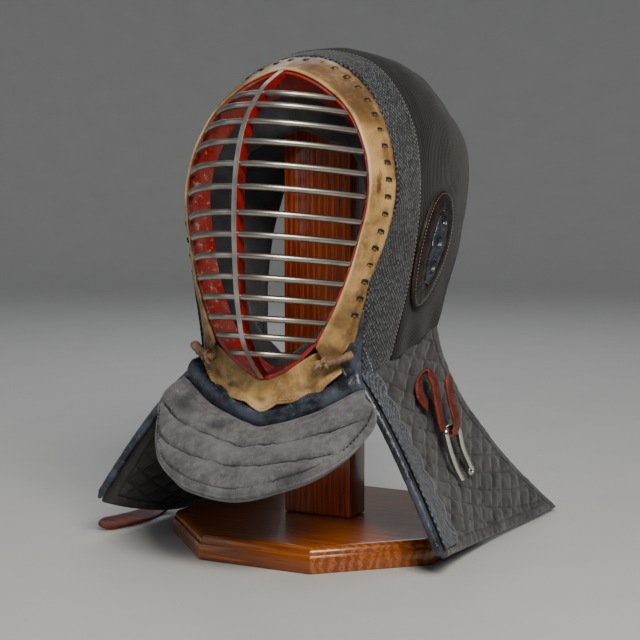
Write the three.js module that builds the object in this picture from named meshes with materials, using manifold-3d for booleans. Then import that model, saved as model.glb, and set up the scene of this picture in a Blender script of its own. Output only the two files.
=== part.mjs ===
// A kendo mask on its wooden stand.
// Millimetres. Z is up and the mask looks along -Y.
// The origin is the centre of the underside of the stand's base.
import * as THREE from 'three';
import { mergeVertices } from 'three/addons/utils/BufferGeometryUtils.js';
import Module from 'manifold-3d';

const wasm = await Module();
wasm.setup();

// Stand.
const baseAcrossFlats = 223;
const baseThickness = 19;
const baseEdgeRound = 5;
const postWidth = 58;
const postDepth = 26;

// Face: the opening of the grille and the lean of the whole face.
const openingHeight = 223;
const openingHalfWidth = 75.5;
const grilleDepth = 56;
const faceLean = THREE.MathUtils.degToRad(8.3);
const faceCentreY = -80;
const faceCentreZ = 246.5;
const barDiameter = 4.2;
const bladeThickness = 4;
const bladeDepth = 11;
const stripDepth = 19;
const stripThickness = 2.2;
const rawhideThickness = 2;

// Head: half width, depth from the face centre to the back edge, and height of the crown.
const headHalfWidth = 95;
const headDepth = 222;
const crownHeight = 381;
const hoodThickness = 6;
const bandThickness = 4;

// Flaps.
const flapReach = 145;
const flapLength = 260;
const flapThickness = 6;
const pipingDiameter = 7;
const edgeBandWidth = 35;
const throatHalfWidth = 88;
const throatThickness = 11;
const rollThickness = 8;
const cushionThickness = 11;

// Straps and fittings.
const strapWidth = 14;
const strapThickness = 2.4;
const hookWire = 3.4;
const earHeight = 78;
const earWidth = 46;
const earThickness = 2.2;
// Lean of the ear's oval, and how far down the hood's arch it sits.
const earLean = 0.26;
const earDrop = 0.381;

// Pieces that touch keep this gap.
const gap = 0.3;

// A point on a smooth line through the rows, t from 0 at the first row to 1 at the last.
function smooth(rows, t, closed = false) {
  const count = closed ? rows.length : rows.length - 1;
  const place = Math.min(Math.max(t, 0), 1) * count;
  const k = Math.min(Math.floor(place), count - 1);
  const f = place - k;
  const pick = (i) => {
    if (closed) return rows[(i + rows.length) % rows.length];
    if (i < 0) return rows[0].map((c, n) => 2 * c - rows[1][n]);
    if (i >= rows.length) {
      const last = rows[rows.length - 1];
      return last.map((c, n) => 2 * c - rows[rows.length - 2][n]);
    }
    return rows[i];
  };
  const [a, b, c, d] = [pick(k - 1), pick(k), pick(k + 1), pick(k + 2)];
  return b.map((value, n) => {
    const first = 0.5 * (c[n] - a[n]);
    const second = a[n] - 2.5 * b[n] + 2 * c[n] - 0.5 * d[n];
    const third = 1.5 * (b[n] - c[n]) + 0.5 * (d[n] - a[n]);
    return value + f * (first + f * (second + f * third));
  });
}

// Half a symmetric line, middle first, made whole from the -X end to the +X end.
function bothSides(half) {
  const mirrored = half.slice(1).reverse().map(([x, y, z]) => [-x, y, z]);
  return [...mirrored, ...half];
}

// A point given sideways, up and forward of the leaning face's centre.
function fromFace([side, up, forward]) {
  const sin = Math.sin(faceLean);
  const cos = Math.cos(faceLean);
  const y = faceCentreY + up * sin - forward * cos;
  const z = faceCentreZ + up * cos + forward * sin;
  return new THREE.Vector3(side, y, z);
}

// A closed body from a list of positions and triangles, facing out.
function body(points, triangles) {
  let volume = 0;
  for (const [a, b, c] of triangles) {
    volume += points[a].dot(points[b].clone().cross(points[c]));
  }
  const faces = volume < 0 ? triangles.map(([a, b, c]) => [a, c, b]) : triangles;
  const geometry = new THREE.BufferGeometry();
  geometry.setFromPoints(points);
  geometry.setIndex(faces.flat());
  geometry.computeVertexNormals();
  return geometry;
}

// A soft sheet with thickness. The middle surface is middle(u, v) with u and v from 0 to 1.
// thick(u, v) is the thickness there. A looped sheet joins v = 1 to v = 0.
// grow makes it larger all round.
function sheet(middle, thick, uCount, vCount, looped = false, grow = 0) {
  const points = [];
  const rowCount = looped ? vCount : vCount + 1;
  const step = 0.004;
  for (const side of [0.5, -0.5]) {
    for (let j = 0; j < rowCount; j += 1) {
      for (let i = 0; i <= uCount; i += 1) {
        const u = i / uCount;
        const v = j / vCount;
        const u0 = Math.max(u - step, 0);
        const u1 = Math.min(u + step, 1);
        const v0 = looped ? (v - step + 1) % 1 : Math.max(v - step, 0);
        const v1 = looped ? (v + step) % 1 : Math.min(v + step, 1);
        const du = middle(u1, v).clone().sub(middle(u0, v));
        const dv = middle(u, v1).clone().sub(middle(u, v0));
        const normal = du.clone().cross(dv).normalize();
        const point = middle(u, v).clone();
        point.addScaledVector(normal, side * (thick(u, v) + 2 * grow));
        if (i === 0) point.addScaledVector(du.normalize(), -grow);
        if (i === uCount) point.addScaledVector(du.normalize(), grow);
        if (!looped && j === 0) point.addScaledVector(dv.normalize(), -grow);
        if (!looped && j === vCount) point.addScaledVector(dv.normalize(), grow);
        points.push(point);
      }
    }
  }
  const layer = rowCount * (uCount + 1);
  const at = (side, j, i) => side * layer + (j % rowCount) * (uCount + 1) + i;
  const triangles = [];
  const quad = (a, b, c, d) => triangles.push([a, b, c], [a, c, d]);
  for (let j = 0; j < vCount; j += 1) {
    for (let i = 0; i < uCount; i += 1) {
      quad(at(0, j, i), at(0, j, i + 1), at(0, j + 1, i + 1), at(0, j + 1, i));
      quad(at(1, j, i), at(1, j + 1, i), at(1, j + 1, i + 1), at(1, j, i + 1));
    }
    quad(at(0, j, 0), at(0, j + 1, 0), at(1, j + 1, 0), at(1, j, 0));
    quad(at(0, j + 1, uCount), at(0, j, uCount), at(1, j, uCount), at(1, j + 1, uCount));
  }
  if (!looped) {
    for (let i = 0; i < uCount; i += 1) {
      quad(at(0, 0, i + 1), at(0, 0, i), at(1, 0, i), at(1, 0, i + 1));
      quad(at(0, vCount, i), at(0, vCount, i + 1), at(1, vCount, i + 1), at(1, vCount, i));
    }
  }
  return body(points, triangles);
}

// A round roll or wire along a line of points.
function roll(points, diameter, steps, sides = 8) {
  const line = new THREE.CatmullRomCurve3(points, false, 'centripetal');
  const round = new THREE.Shape();
  for (let i = 0; i < sides; i += 1) {
    const angle = (2 * Math.PI * i) / sides;
    const x = (diameter / 2) * Math.cos(angle);
    const y = (diameter / 2) * Math.sin(angle);
    if (i === 0) round.moveTo(x, y);
    else round.lineTo(x, y);
  }
  round.closePath();
  return new THREE.ExtrudeGeometry(round, { steps, extrudePath: line, bevelEnabled: false });
}

function toManifold(geometry) {
  const plain = geometry.clone();
  plain.deleteAttribute('normal');
  plain.deleteAttribute('uv');
  const merged = mergeVertices(plain, 1e-4);
  return new wasm.Manifold(new wasm.Mesh({
    numProp: 3,
    vertProperties: new Float32Array(merged.attributes.position.array),
    triVerts: new Uint32Array(merged.index.array),
  }));
}

function fromManifold(solid) {
  const mesh = solid.getMesh();
  const geometry = new THREE.BufferGeometry();
  const positions = new Float32Array((mesh.vertProperties.length / mesh.numProp) * 3);
  for (let i = 0; i < positions.length / 3; i += 1) {
    for (let n = 0; n < 3; n += 1) {
      positions[3 * i + n] = mesh.vertProperties[mesh.numProp * i + n];
    }
  }
  geometry.setAttribute('position', new THREE.BufferAttribute(positions, 3));
  geometry.setIndex(Array.from(mesh.triVerts));
  geometry.computeVertexNormals();
  return geometry;
}

const group = new THREE.Group();

// Adds a piece. make(grow) gives its geometry, grown all round by grow.
// The piece is cut back to leave a gap round each neighbour named in cutBy.
const grown = {};
function add(name, make, colour, roughness, metalness = 0, cutBy = []) {
  let geometry = make(0);
  let solid = toManifold(geometry);
  grown[name] = toManifold(make(gap)).add(solid);
  if (cutBy.length > 0) {
    for (const neighbour of cutBy) solid = solid.subtract(grown[neighbour]);
    const parts = solid.decompose();
    parts.sort((a, b) => b.volume() - a.volume());
    geometry = fromManifold(parts[0]);
  }
  const material = new THREE.MeshStandardMaterial({ color: colour, roughness, metalness });
  const mesh = new THREE.Mesh(geometry, material);
  mesh.name = name;
  group.add(mesh);
}

// Stand: a regular octagon with one flat to the front, its top edge rounded in steps.
const cornerAngle = Math.PI / 8;
function octagonRing(inset, height) {
  const radius = (baseAcrossFlats / 2 - inset) / Math.cos(cornerAngle);
  const ring = [];
  for (let i = 0; i < 8; i += 1) {
    const angle = cornerAngle + (i * Math.PI) / 4;
    ring.push(new THREE.Vector3(radius * Math.cos(angle), radius * Math.sin(angle), height));
  }
  return ring;
}
const lip = 1;
const baseRings = [
  octagonRing(lip, 0),
  octagonRing(0, lip),
  octagonRing(0, baseThickness - baseEdgeRound - lip),
  octagonRing(lip, baseThickness - baseEdgeRound),
];
for (let k = 0; k <= 4; k += 1) {
  const turn = (k * Math.PI) / 8;
  const inset = lip + 1 + baseEdgeRound * (1 - Math.cos(turn));
  const height = baseThickness - baseEdgeRound * (1 - Math.sin(turn));
  baseRings.push(octagonRing(inset, height));
}
const basePoints = baseRings.flat();
const baseTriangles = [];
for (let k = 0; k < baseRings.length - 1; k += 1) {
  for (let i = 0; i < 8; i += 1) {
    const next = (i + 1) % 8;
    baseTriangles.push([8 * k + i, 8 * k + next, 8 * k + 8 + next]);
    baseTriangles.push([8 * k + i, 8 * k + 8 + next, 8 * k + 8 + i]);
  }
}
const topStart = 8 * (baseRings.length - 1);
for (let i = 1; i < 7; i += 1) {
  baseTriangles.push([topStart, topStart + i, topStart + i + 1]);
  baseTriangles.push([0, i + 1, i]);
}
add('stand_base', () => body(basePoints, baseTriangles), 0x8a4a1c, 0.35);

// Head surface. Each station runs from the crown to the lower end of one cheek.
// Rows: side, back and up as shares of the head's half width, depth and crown height.
// Back is counted from the face centre.
const stations = [
  [[0, 0.203, 0.971], [0.485, 0.189, 0.932], [0.8, 0.144, 0.81], [0.915, 0.104, 0.703],
    [0.81, 0.05, 0.564], [0.73, 0.063, 0.373]],
  [[0, 0.338, 0.985], [0.5, 0.315, 0.954], [0.835, 0.275, 0.86], [0.955, 0.248, 0.735],
    [0.91, 0.234, 0.577], [0.745, 0.198, 0.378]],
  [[0, 0.43, 0.991], [0.53, 0.435, 0.96], [0.895, 0.455, 0.858], [0.97, 0.455, 0.732],
    [0.925, 0.438, 0.583], [0.765, 0.36, 0.402]],
  [[0, 0.67, 0.966], [0.51, 0.67, 0.932], [0.85, 0.652, 0.835], [0.94, 0.624, 0.733],
    [0.905, 0.571, 0.593], [0.78, 0.46, 0.421]],
  [[0, 0.987, 0.838], [0.42, 0.933, 0.846], [0.76, 0.794, 0.816], [0.855, 0.737, 0.715],
    [0.87, 0.63, 0.577], [0.795, 0.54, 0.437]],
].map((station) => bothSides(station.map(([side, back, up]) => [
  side * headHalfWidth,
  faceCentreY + back * headDepth,
  up * crownHeight,
])));

// Rough lengths of the head surface, from front to back and from cheek to cheek.
const headBack = 0.81 * headDepth;
const headArch = 1.58 * crownHeight;

// u runs from the front edge to the back edge, v from the left cheek over the crown.
function headSurface(u, v) {
  const across = stations.map((station) => smooth(station, v));
  return new THREE.Vector3(...smooth(across, u));
}
// The band covers the first quarter of the head surface, up to its seam.
const bandShare = 0.25;
const seamGap = 0.004;
const bandStart = 0.012;
const band = (u, v) => headSurface(bandStart + u * (bandShare - bandStart - seamGap), v);
const hood = (u, v) => headSurface(bandShare + seamGap + u * (1 - bandShare - seamGap), v);
add('hood', (grow) => sheet(hood, () => hoodThickness, 10, 26, false, grow), 0x3a3a3a, 0.95);

// The post reaches up to the lining of the crown: the lowest spot of the lining above it.
let crownUnder = crownHeight;
for (let i = 0; i <= 60; i += 1) {
  for (let j = 0; j <= 60; j += 1) {
    const spot = headSurface(0.1 + (0.6 * i) / 60, 0.35 + (0.3 * j) / 60);
    const above = Math.abs(spot.x) < postWidth / 2 + 2 && Math.abs(spot.y) < postDepth / 2 + 2;
    if (above) crownUnder = Math.min(crownUnder, spot.z - hoodThickness / 2 + 0.75);
  }
}
const postFoot = baseThickness + gap;
function post(grow) {
  const height = crownUnder - postFoot + 2 * grow;
  const board = new THREE.BoxGeometry(postWidth + 2 * grow, postDepth + 2 * grow, height);
  return board.translate(0, 0, (crownUnder + postFoot) / 2);
}
add('stand_post', post, 0x8a3f16, 0.4);

// The face opening. Rows: half width and height as shares of the opening's own sizes.
const openingRows = [
  [0, 0.507], [0.32, 0.475], [0.588, 0.417], [0.74, 0.368], [0.848, 0.312], [0.934, 0.246],
  [0.985, 0.174], [1, 0.11], [0.964, 0.021], [0.917, -0.047], [0.868, -0.113], [0.808, -0.179],
  [0.735, -0.242], [0.652, -0.306], [0.552, -0.364], [0.404, -0.418], [0.2, -0.468], [0, -0.493],
];
const openingHalf = openingRows.map(([w, h]) => [w * openingHalfWidth, h * openingHeight, 0]);
const openingLeft = openingHalf.slice(1, -1).reverse().map(([x, y]) => [-x, y, 0]);
const openingLoop = [...openingHalf, ...openingLeft];
// A point of the opening's edge, moved outwards and forwards, t once round from the top.
function opening(t, out, forward) {
  const [x, y] = smooth(openingLoop, t % 1, true);
  const [x0, y0] = smooth(openingLoop, (t + 0.997) % 1, true);
  const [x1, y1] = smooth(openingLoop, (t + 0.003) % 1, true);
  const length = Math.hypot(x1 - x0, y1 - y0);
  return fromFace([x - (out * (y1 - y0)) / length, y + (out * (x1 - x0)) / length, forward]);
}

// Grille bars. Rows: height, half width and forward depth as shares.
const barRows = [
  [0.417, 0.588, 0.51], [0.371, 0.732, 0.71], [0.312, 0.848, 0.86], [0.246, 0.934, 0.955],
  [0.174, 0.98, 1], [0.102, 0.983, 1], [0.021, 0.959, 0.98], [-0.047, 0.917, 0.94],
  [-0.113, 0.868, 0.89], [-0.179, 0.808, 0.84], [-0.242, 0.735, 0.77], [-0.306, 0.652, 0.69],
  [-0.364, 0.552, 0.58], [-0.418, 0.404, 0.41],
];
const barSet = 4;
// Blade: a flat bar on edge down the middle, its front standing a little before the bars.
const bladeRows = [
  [0.512, 0.0], [0.47, 0.24], [0.417, 0.51], [0.312, 0.86], [0.174, 1], [0.021, 0.98],
  [-0.113, 0.89], [-0.242, 0.77], [-0.364, 0.58], [-0.418, 0.41], [-0.46, 0.22], [-0.497, 0.0],
].map(([height, depth]) => [height * openingHeight, depth * grilleDepth]);
function blade(u, v) {
  const [height, forward] = smooth(bladeRows, v);
  const spread = Math.min(v, 1 - v) < 0.04 ? 0.6 : 1;
  return fromFace([0, height, forward + 3.2 - u * bladeDepth * spread]);
}
// Frame strip all round behind the edge of the opening.
const stripOut = stripThickness / 2 + gap;
const strip = (u, v) => opening(v, stripOut + 2 * u, -0.6 - stripDepth * u);
// The grille is soldered into one piece of metal: bars, blade and frame strip.
function faceGrille(grow) {
  let grille = null;
  for (const [height, width, depth] of barRows) {
    const half = width * openingHalfWidth + 0.8;
    const points = [];
    for (let i = 0; i <= 12; i += 1) {
      const x = -half + (2 * half * i) / 12;
      const bulge = 1 - Math.abs(x / half) ** 2.1;
      const forward = -barSet + (depth * grilleDepth + barSet) * bulge;
      points.push(fromFace([x, height * openingHeight, forward]));
    }
    const bar = toManifold(roll(points, barDiameter + 2 * grow, 10, 7));
    grille = grille ? grille.add(bar) : bar;
  }
  grille = grille.add(toManifold(sheet(blade, () => bladeThickness, 1, 22, false, grow)));
  grille = grille.add(toManifold(sheet(strip, () => stripThickness, 1, 52, true, grow)));
  return fromManifold(grille);
}
add('face_grille', faceGrille, 0xb9b9b4, 0.3, 1);

// Face cushion: a padded ring behind the frame strip.
const cushionOut = 2;
const cushionDepth = 24;
const cushionStart = stripDepth + 1.4;
const cushion = (u, v) => opening(v, cushionOut - 9 * Math.sin(Math.PI * u), -cushionStart - cushionDepth * u);
const cushionThick = (u) => cushionThickness * (0.35 + 0.65 * Math.sin(Math.PI * (0.1 + 0.8 * u)));

// Rim: a rawhide funnel from the opening out and back to the front edge of the band.
// Outer edge rows: side, up and forward of the face centre, crown first, as shares of the
// opening's half width and height.
const rimOuter = bothSides([
  [0, 0.578, -0.121], [0.33, 0.562, -0.121], [0.62, 0.505, -0.117], [0.87, 0.41, -0.112],
  [1.04, 0.29, -0.103], [1.13, 0.175, -0.094], [1.145, 0.085, -0.085], [1.095, -0.03, -0.074],
  [1.0, -0.137, -0.067], [0.915, -0.245, -0.071], [0.868, -0.31, -0.076], [0.842, -0.362, -0.076],
].map(([side, up, forward]) => [
  side * openingHalfWidth,
  up * openingHeight,
  forward * openingHeight,
]));
const rimInner = bothSides([
  [0, 0.51], [0.32, 0.478], [0.588, 0.42], [0.74, 0.371], [0.848, 0.315], [0.934, 0.249],
  [0.985, 0.177], [1, 0.11], [0.964, 0.021], [0.868, -0.113], [0.735, -0.242], [0.53, -0.385],
].map(([w, h]) => [w * openingHalfWidth, h * openingHeight, 0]));
const rimFront = rawhideThickness / 2 + 0.8;
const rimTab = 13;
function rim(u, v) {
  const inner = smooth(rimInner, v);
  const outer = smooth(rimOuter, v);
  const end = Math.max(0, Math.abs(2 * v - 1) - 0.9) / 0.1;
  const tab = rimTab * end * end * Math.sin(Math.PI * Math.min(1, u * 1.15)) ** 0.8;
  const swell = 1.5 * Math.sin(Math.PI * u);
  const side = inner[0] + (outer[0] - inner[0]) * u;
  const up = inner[1] + (outer[1] - inner[1]) * u - tab;
  const forward = rimFront + (outer[2] - rimFront) * u + swell;
  return fromFace([side, up, forward]);
}
const rimMake = (grow) => sheet(rim, () => rawhideThickness, 4, 48, false, grow);
add('face_rim', rimMake, 0xb98a4a, 0.6, 0, ['face_grille']);
const bandMake = (grow) => sheet(band, () => bandThickness, 3, 32, false, grow);
add('woven_front_band', bandMake, 0x3c4148, 0.95, 0, ['face_rim', 'stand_post']);
const cushionMake = (grow) => sheet(cushion, cushionThick, 4, 34, true, grow);
const cushionCut = ['face_grille', 'face_rim', 'woven_front_band', 'hood', 'stand_post'];
add('face_cushion', cushionMake, 0x2c2f36, 0.95, 0, cushionCut);

// Chin rawhide, from under the opening to its curved lower edge, ends behind the rim's tabs.
const chinTop = bothSides([
  [0, -0.502, -0.002], [0.2, -0.478, -0.002], [0.4, -0.432, -0.003], [0.55, -0.4, -0.014],
  [0.67, -0.39, -0.044],
].map(([side, up, forward]) => [
  side * openingHalfWidth,
  up * openingHeight,
  forward * openingHeight,
]));
const chinLow = bothSides([
  [0, -0.6, -0.019], [0.11, -0.587, -0.013], [0.22, -0.569, -0.017], [0.33, -0.553, -0.018],
  [0.475, -0.545, -0.038], [0.585, -0.523, -0.041], [0.67, -0.498, -0.045], [0.77, -0.46, -0.07],
].map(([side, up, forward]) => [
  side * openingHalfWidth,
  up * openingHeight,
  forward * openingHeight,
]));
function chin(u, v) {
  const top = smooth(chinTop, v);
  const low = smooth(chinLow, v);
  const hollow = -2.5 * Math.sin(Math.PI * u);
  return fromFace(top.map((c, n) => c + (low[n] - c) * u + (n === 2 ? hollow : 0)));
}
const chinMake = (grow) => sheet(chin, () => rawhideThickness, 4, 28, false, grow);
const chinCut = ['face_grille', 'face_rim', 'face_cushion'];
add('chin_rawhide', chinMake, 0xb98a4a, 0.6, 0, chinCut);

// Chin roll: padded leather between the chin rawhide and the throat flap.
// Its upper edge tucks in behind the chin rawhide's lower edge.
const rollTop = bothSides([
  [0, -0.585, -0.05], [0.22, -0.556, -0.046], [0.42, -0.52, -0.052], [0.6, -0.49, -0.078],
  [0.78, -0.44, -0.105], [0.86, -0.4, -0.12],
].map(([side, up, forward]) => [
  side * openingHalfWidth,
  up * openingHeight,
  forward * openingHeight,
]));
// The seam of roll and throat flap. Side is a share of the throat flap's half width.
const throatTopRows = [
  [0, -0.659, -0.004], [0.13, -0.648, -0.008], [0.25, -0.635, -0.012], [0.48, -0.601, -0.018],
  [0.61, -0.572, -0.03], [0.71, -0.547, -0.042], [0.81, -0.523, -0.054], [0.86, -0.52, -0.066],
];
const throatTop = bothSides(throatTopRows.map(([side, up, forward]) => [
  side * throatHalfWidth,
  up * openingHeight,
  forward * openingHeight,
]));
function chinRoll(u, v) {
  const top = smooth(rollTop, v);
  const low = smooth(throatTop, v);
  const swell = 3.5 * Math.sin(Math.PI * u);
  const share = u * 0.93;
  return fromFace(top.map((c, n) => c + (low[n] - c) * share + (n === 2 ? swell : 0)));
}
const rollThick = (u) => rollThickness * (0.4 + 0.6 * Math.sin(Math.PI * (0.06 + 0.88 * u)));
const rollMake = (grow) => sheet(chinRoll, rollThick, 5, 28, false, grow);
const rollCut = ['face_rim', 'chin_rawhide', 'face_cushion', 'face_grille', 'woven_front_band'];
add('chin_roll', rollMake, 0x20242c, 0.45, 0, rollCut);

// Throat flap: padded cotton, bent along its middle, with two curved quilting lines.
const throatLow = bothSides([
  [0, -0.885, 0.2], [0.2, -0.875, 0.215], [0.42, -0.85, 0.215], [0.7, -0.8, 0.142],
  [0.88, -0.735, 0.065], [0.98, -0.665, 0.0], [1.0, -0.62, -0.03], [0.96, -0.575, -0.055],
].map(([side, up, forward]) => [
  side * throatHalfWidth,
  up * openingHeight,
  forward * openingHeight,
]));
const quiltLines = [0.3, 0.58];
const quiltDip = 3.5;
function throat(u, v) {
  const top = smooth(throatTop, v);
  const low = smooth(throatLow, v);
  const share = 0.025 + 0.975 * u;
  const swell = 5 * Math.sin(Math.PI * u);
  return fromFace(top.map((c, n) => c + (low[n] - c) * share + (n === 2 ? swell : 0)));
}
function throatThick(u, v) {
  const edge = Math.min(u, 1 - u, 2 * v, 2 - 2 * v);
  const round = Math.min(1, 0.35 + 4 * Math.max(0, edge));
  let dip = 0;
  for (const line of quiltLines) dip += quiltDip * Math.exp(-(((u - line) / 0.045) ** 2));
  return throatThickness * round - dip * round;
}
const throatMake = (grow) => sheet(throat, throatThick, 14, 20, false, grow);
add('throat_flap', throatMake, 0x4a4a4c, 0.98, 0, ['chin_roll', 'chin_rawhide']);

// Side flaps. The upper edge follows the hood's lower edge, then turns down the front.
// Rows: side, back and up as shares of the reach, the length and the reach, front to back.
const hemRight = [
  [0.938, -0.315, 0.104], [0.89, -0.135, 0.069], [0.862, 0.096, 0.036], [0.855, 0.288, 0.018],
  [0.869, 0.465, 0.014], [0.883, 0.669, 0.014],
];
const hemLeft = [
  [1.055, -0.346, 0.207], [1.055, -0.173, 0.11], [1.014, 0, 0.042], [0.986, 0.192, 0.022],
  [0.938, 0.423, 0.014], [0.883, 0.669, 0.014],
];
const neckRows = [
  [0.424, -0.3, 0.978], [0.455, -0.23, 0.988], [0.486, -0.146, 0.988], [0.5, -0.008, 1.047],
  [0.514, 0.085, 1.098], [0.524, 0.154, 1.14],
];
function flapSurface(hem, mirror) {
  return (u, v) => {
    const top = smooth(neckRows, v);
    const low = smooth(hem, v);
    const flare = 0.78 + 0.75 * v;
    const out = u ** flare;
    const side = top[0] + (low[0] - top[0]) * out;
    const back = top[1] + (low[1] - top[1]) * out;
    const up = top[2] + (low[2] - top[2]) * u;
    return new THREE.Vector3(mirror * side * flapReach, back * flapLength, up * flapReach);
  };
}
const bandSteps = 7;
for (const [side, mirror, hem] of [['right', 1, hemRight], ['left', -1, hemLeft]]) {
  const surface = flapSurface(hem, mirror);
  const frontShare = 0.03;
  const flap = (u, v) => surface(u, frontShare + (1 - frontShare) * v);
  const flapMake = (grow) => sheet(flap, () => flapThickness, 9, 9, false, grow);
  const flapCut = ['hood', 'woven_front_band', 'chin_roll', 'throat_flap', 'face_cushion'];
  add(`side_flap_${side}`, flapMake, 0x474747, 0.98, 0, flapCut);

  // Piping: a leather roll down the front edge.
  const pipe = [];
  for (let i = 0; i <= 8; i += 1) {
    const here = surface(0.015 + 0.965 * (i / 8), 0);
    const behind = surface(0.015 + 0.965 * (i / 8), 0.04);
    const away = here.clone().sub(behind).normalize();
    pipe.push(here.addScaledVector(away, 0.2));
  }
  const pipeMake = (grow) => roll(pipe, pipingDiameter + 2 * grow, 20);
  const pipeCut = [...flapCut, `side_flap_${side}`];
  add(`flap_piping_${side}`, pipeMake, 0x1d222b, 0.45, 0, pipeCut);

  // Edge band: woven cloth laid on the outer face, its back edge cut in scallops.
  const lift = (flapThickness + 1.4) / 2 + gap;
  const onFlap = (u, v) => {
    const du = surface(Math.min(u + 0.01, 1), v).sub(surface(Math.max(u - 0.01, 0), v));
    const dv = surface(u, Math.min(v + 0.01, 1)).sub(surface(u, Math.max(v - 0.01, 0)));
    const out = dv.cross(du).normalize().multiplyScalar(lift);
    if (out.x * mirror < 0) out.negate();
    return surface(u, v).add(out);
  };
  const width = edgeBandWidth / flapLength;
  const edgeBand = (u, v) => {
    const scallop = 0.72 + 0.28 * Math.sqrt(Math.abs(Math.sin(Math.PI * bandSteps * v)));
    return onFlap(0.06 + 0.9 * v, 0.055 + (1.25 - 0.35 * v) * width * scallop * u);
  };
  const edgeMake = (grow) => sheet(edgeBand, () => 1.4, 1, 42, false, grow);
  const edgeCut = [`flap_piping_${side}`, `side_flap_${side}`, 'hood', 'woven_front_band'];
  add(`edge_band_${side}`, edgeMake, 0x4a5058, 0.95, 0, edgeCut);

  // Cheek gusset: leather between the rim's lower end, the band and the flap's piping.
  const gussetRows = [
    [[0.46, -0.28, 1.255], [0.475, -0.28, 1.26]],
    [[0.44, -0.287, 1.16], [0.468, -0.275, 1.17]],
    [[0.427, -0.298, 1.07], [0.462, -0.266, 1.08]],
    [[0.422, -0.304, 1.0], [0.46, -0.258, 1.01]],
  ];
  const gusset = (u, v) => {
    const front = smooth(gussetRows.map((row) => row[0]), v);
    const back = smooth(gussetRows.map((row) => row[1]), v);
    const [x, y, z] = front.map((c, n) => c + (back[n] - c) * u);
    return new THREE.Vector3(mirror * x * flapReach, y * flapLength, z * flapReach);
  };
  const gussetMake = (grow) => sheet(gusset, () => 2.4, 2, 8, false, grow);
  const gussetCut = [...pipeCut, `flap_piping_${side}`, 'face_rim', 'chin_rawhide'];
  add(`cheek_gusset_${side}`, gussetMake, 0x1d222b, 0.45, 0, gussetCut);

  // Ear leather: an oval frame on the hood. Its long opening holds a dark, pierced inner piece.
  // tall and wide are measured up and back from the oval's middle.
  const earPlace = (tall, wide, height) => {
    const u = 0.385 + (wide + tall * earLean) / headBack;
    const v = 0.5 + mirror * (earDrop - (tall - wide * earLean) / headArch);
    const du = headSurface(u + 0.01, v).sub(headSurface(u - 0.01, v));
    const dv = headSurface(u, v + 0.01).sub(headSurface(u, v - 0.01));
    const out = dv.cross(du).normalize();
    if (out.x * mirror < 0) out.negate();
    return headSurface(u, v).addScaledVector(out, hoodThickness / 2 + height);
  };
  const earFrame = (u, v) => {
    const angle = 2 * Math.PI * v;
    const slotTall = (0.66 * earHeight * Math.cos(angle)) / 2;
    const slotWide = (0.36 * earWidth * Math.sin(angle)) / 2 + 0.08 * earWidth;
    const tall = slotTall + ((earHeight * Math.cos(angle)) / 2 - slotTall) * u;
    const wide = slotWide + ((earWidth * Math.sin(angle)) / 2 - slotWide) * u;
    return earPlace(tall, wide, 0.7 + earThickness / 2);
  };
  const earMake = (grow) => sheet(earFrame, () => earThickness, 1, 30, true, grow);
  const earCut = ['hood', 'woven_front_band'];
  add(`ear_leather_${side}`, earMake, 0x3a2018, 0.4, 0, earCut);
  const earInner = (u, v) => {
    const share = 2 * v - 1;
    const half = 0.17 * earWidth * Math.sqrt(Math.max(0.1, 1 - share * share));
    return earPlace(0.325 * earHeight * share, (2 * u - 1) * half + 0.08 * earWidth, 2.3);
  };
  const earHoles = [-0.19, 0.02, 0.22].map((share) => {
    const tall = share * earHeight;
    const wide = 0.08 * earWidth;
    return roll([earPlace(tall, wide, -1), earPlace(tall, wide, 4)], 7, 1, 12);
  });
  const innerMake = (grow) => {
    let piece = toManifold(sheet(earInner, () => 1.6, 1, 20, false, grow));
    for (const hole of earHoles) piece = piece.subtract(toManifold(hole));
    return fromManifold(piece);
  };
  const innerCut = [...earCut, `ear_leather_${side}`];
  add(`ear_inner_${side}`, innerMake, 0x14171f, 0.35, 0, innerCut);

  // Lace: a rawhide loop that ties the rim's tab to the chin roll.
  const lace = [
    [0.56, -0.44, 0.01], [0.68, -0.432, 0.0], [0.78, -0.42, -0.02], [0.88, -0.4, -0.042],
  ].map(([x, up, forward]) => fromFace([
    mirror * x * openingHalfWidth,
    up * openingHeight,
    forward * openingHeight,
  ]));
  const laceCut = ['face_rim', 'chin_rawhide', 'chin_roll', `cheek_gusset_${side}`, 'throat_flap'];
  add(`lace_${side}`, (grow) => roll(lace, 5 + 2 * grow, 10), 0x8b7355, 0.7, 0, laceCut);
}

// Straps: flat leather ribbons along a line. Each row gives a place and the way across.
function ribbon(rows, width, thickness, steps, grow) {
  const line = new THREE.CatmullRomCurve3(rows.map((row) => row[0]), false, 'centripetal');
  const crossways = rows.map((row) => row[1].toArray());
  const middle = (u, v) => {
    const along = line.getTangent(v);
    const across = new THREE.Vector3(...smooth(crossways, v));
    across.addScaledVector(along, -across.dot(along)).normalize();
    return line.getPoint(v).addScaledVector(across, (u - 0.5) * width);
  };
  return sheet(middle, () => thickness, 1, steps, false, grow);
}
const vector = (x, y, z) => new THREE.Vector3(x, y, z);
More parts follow.
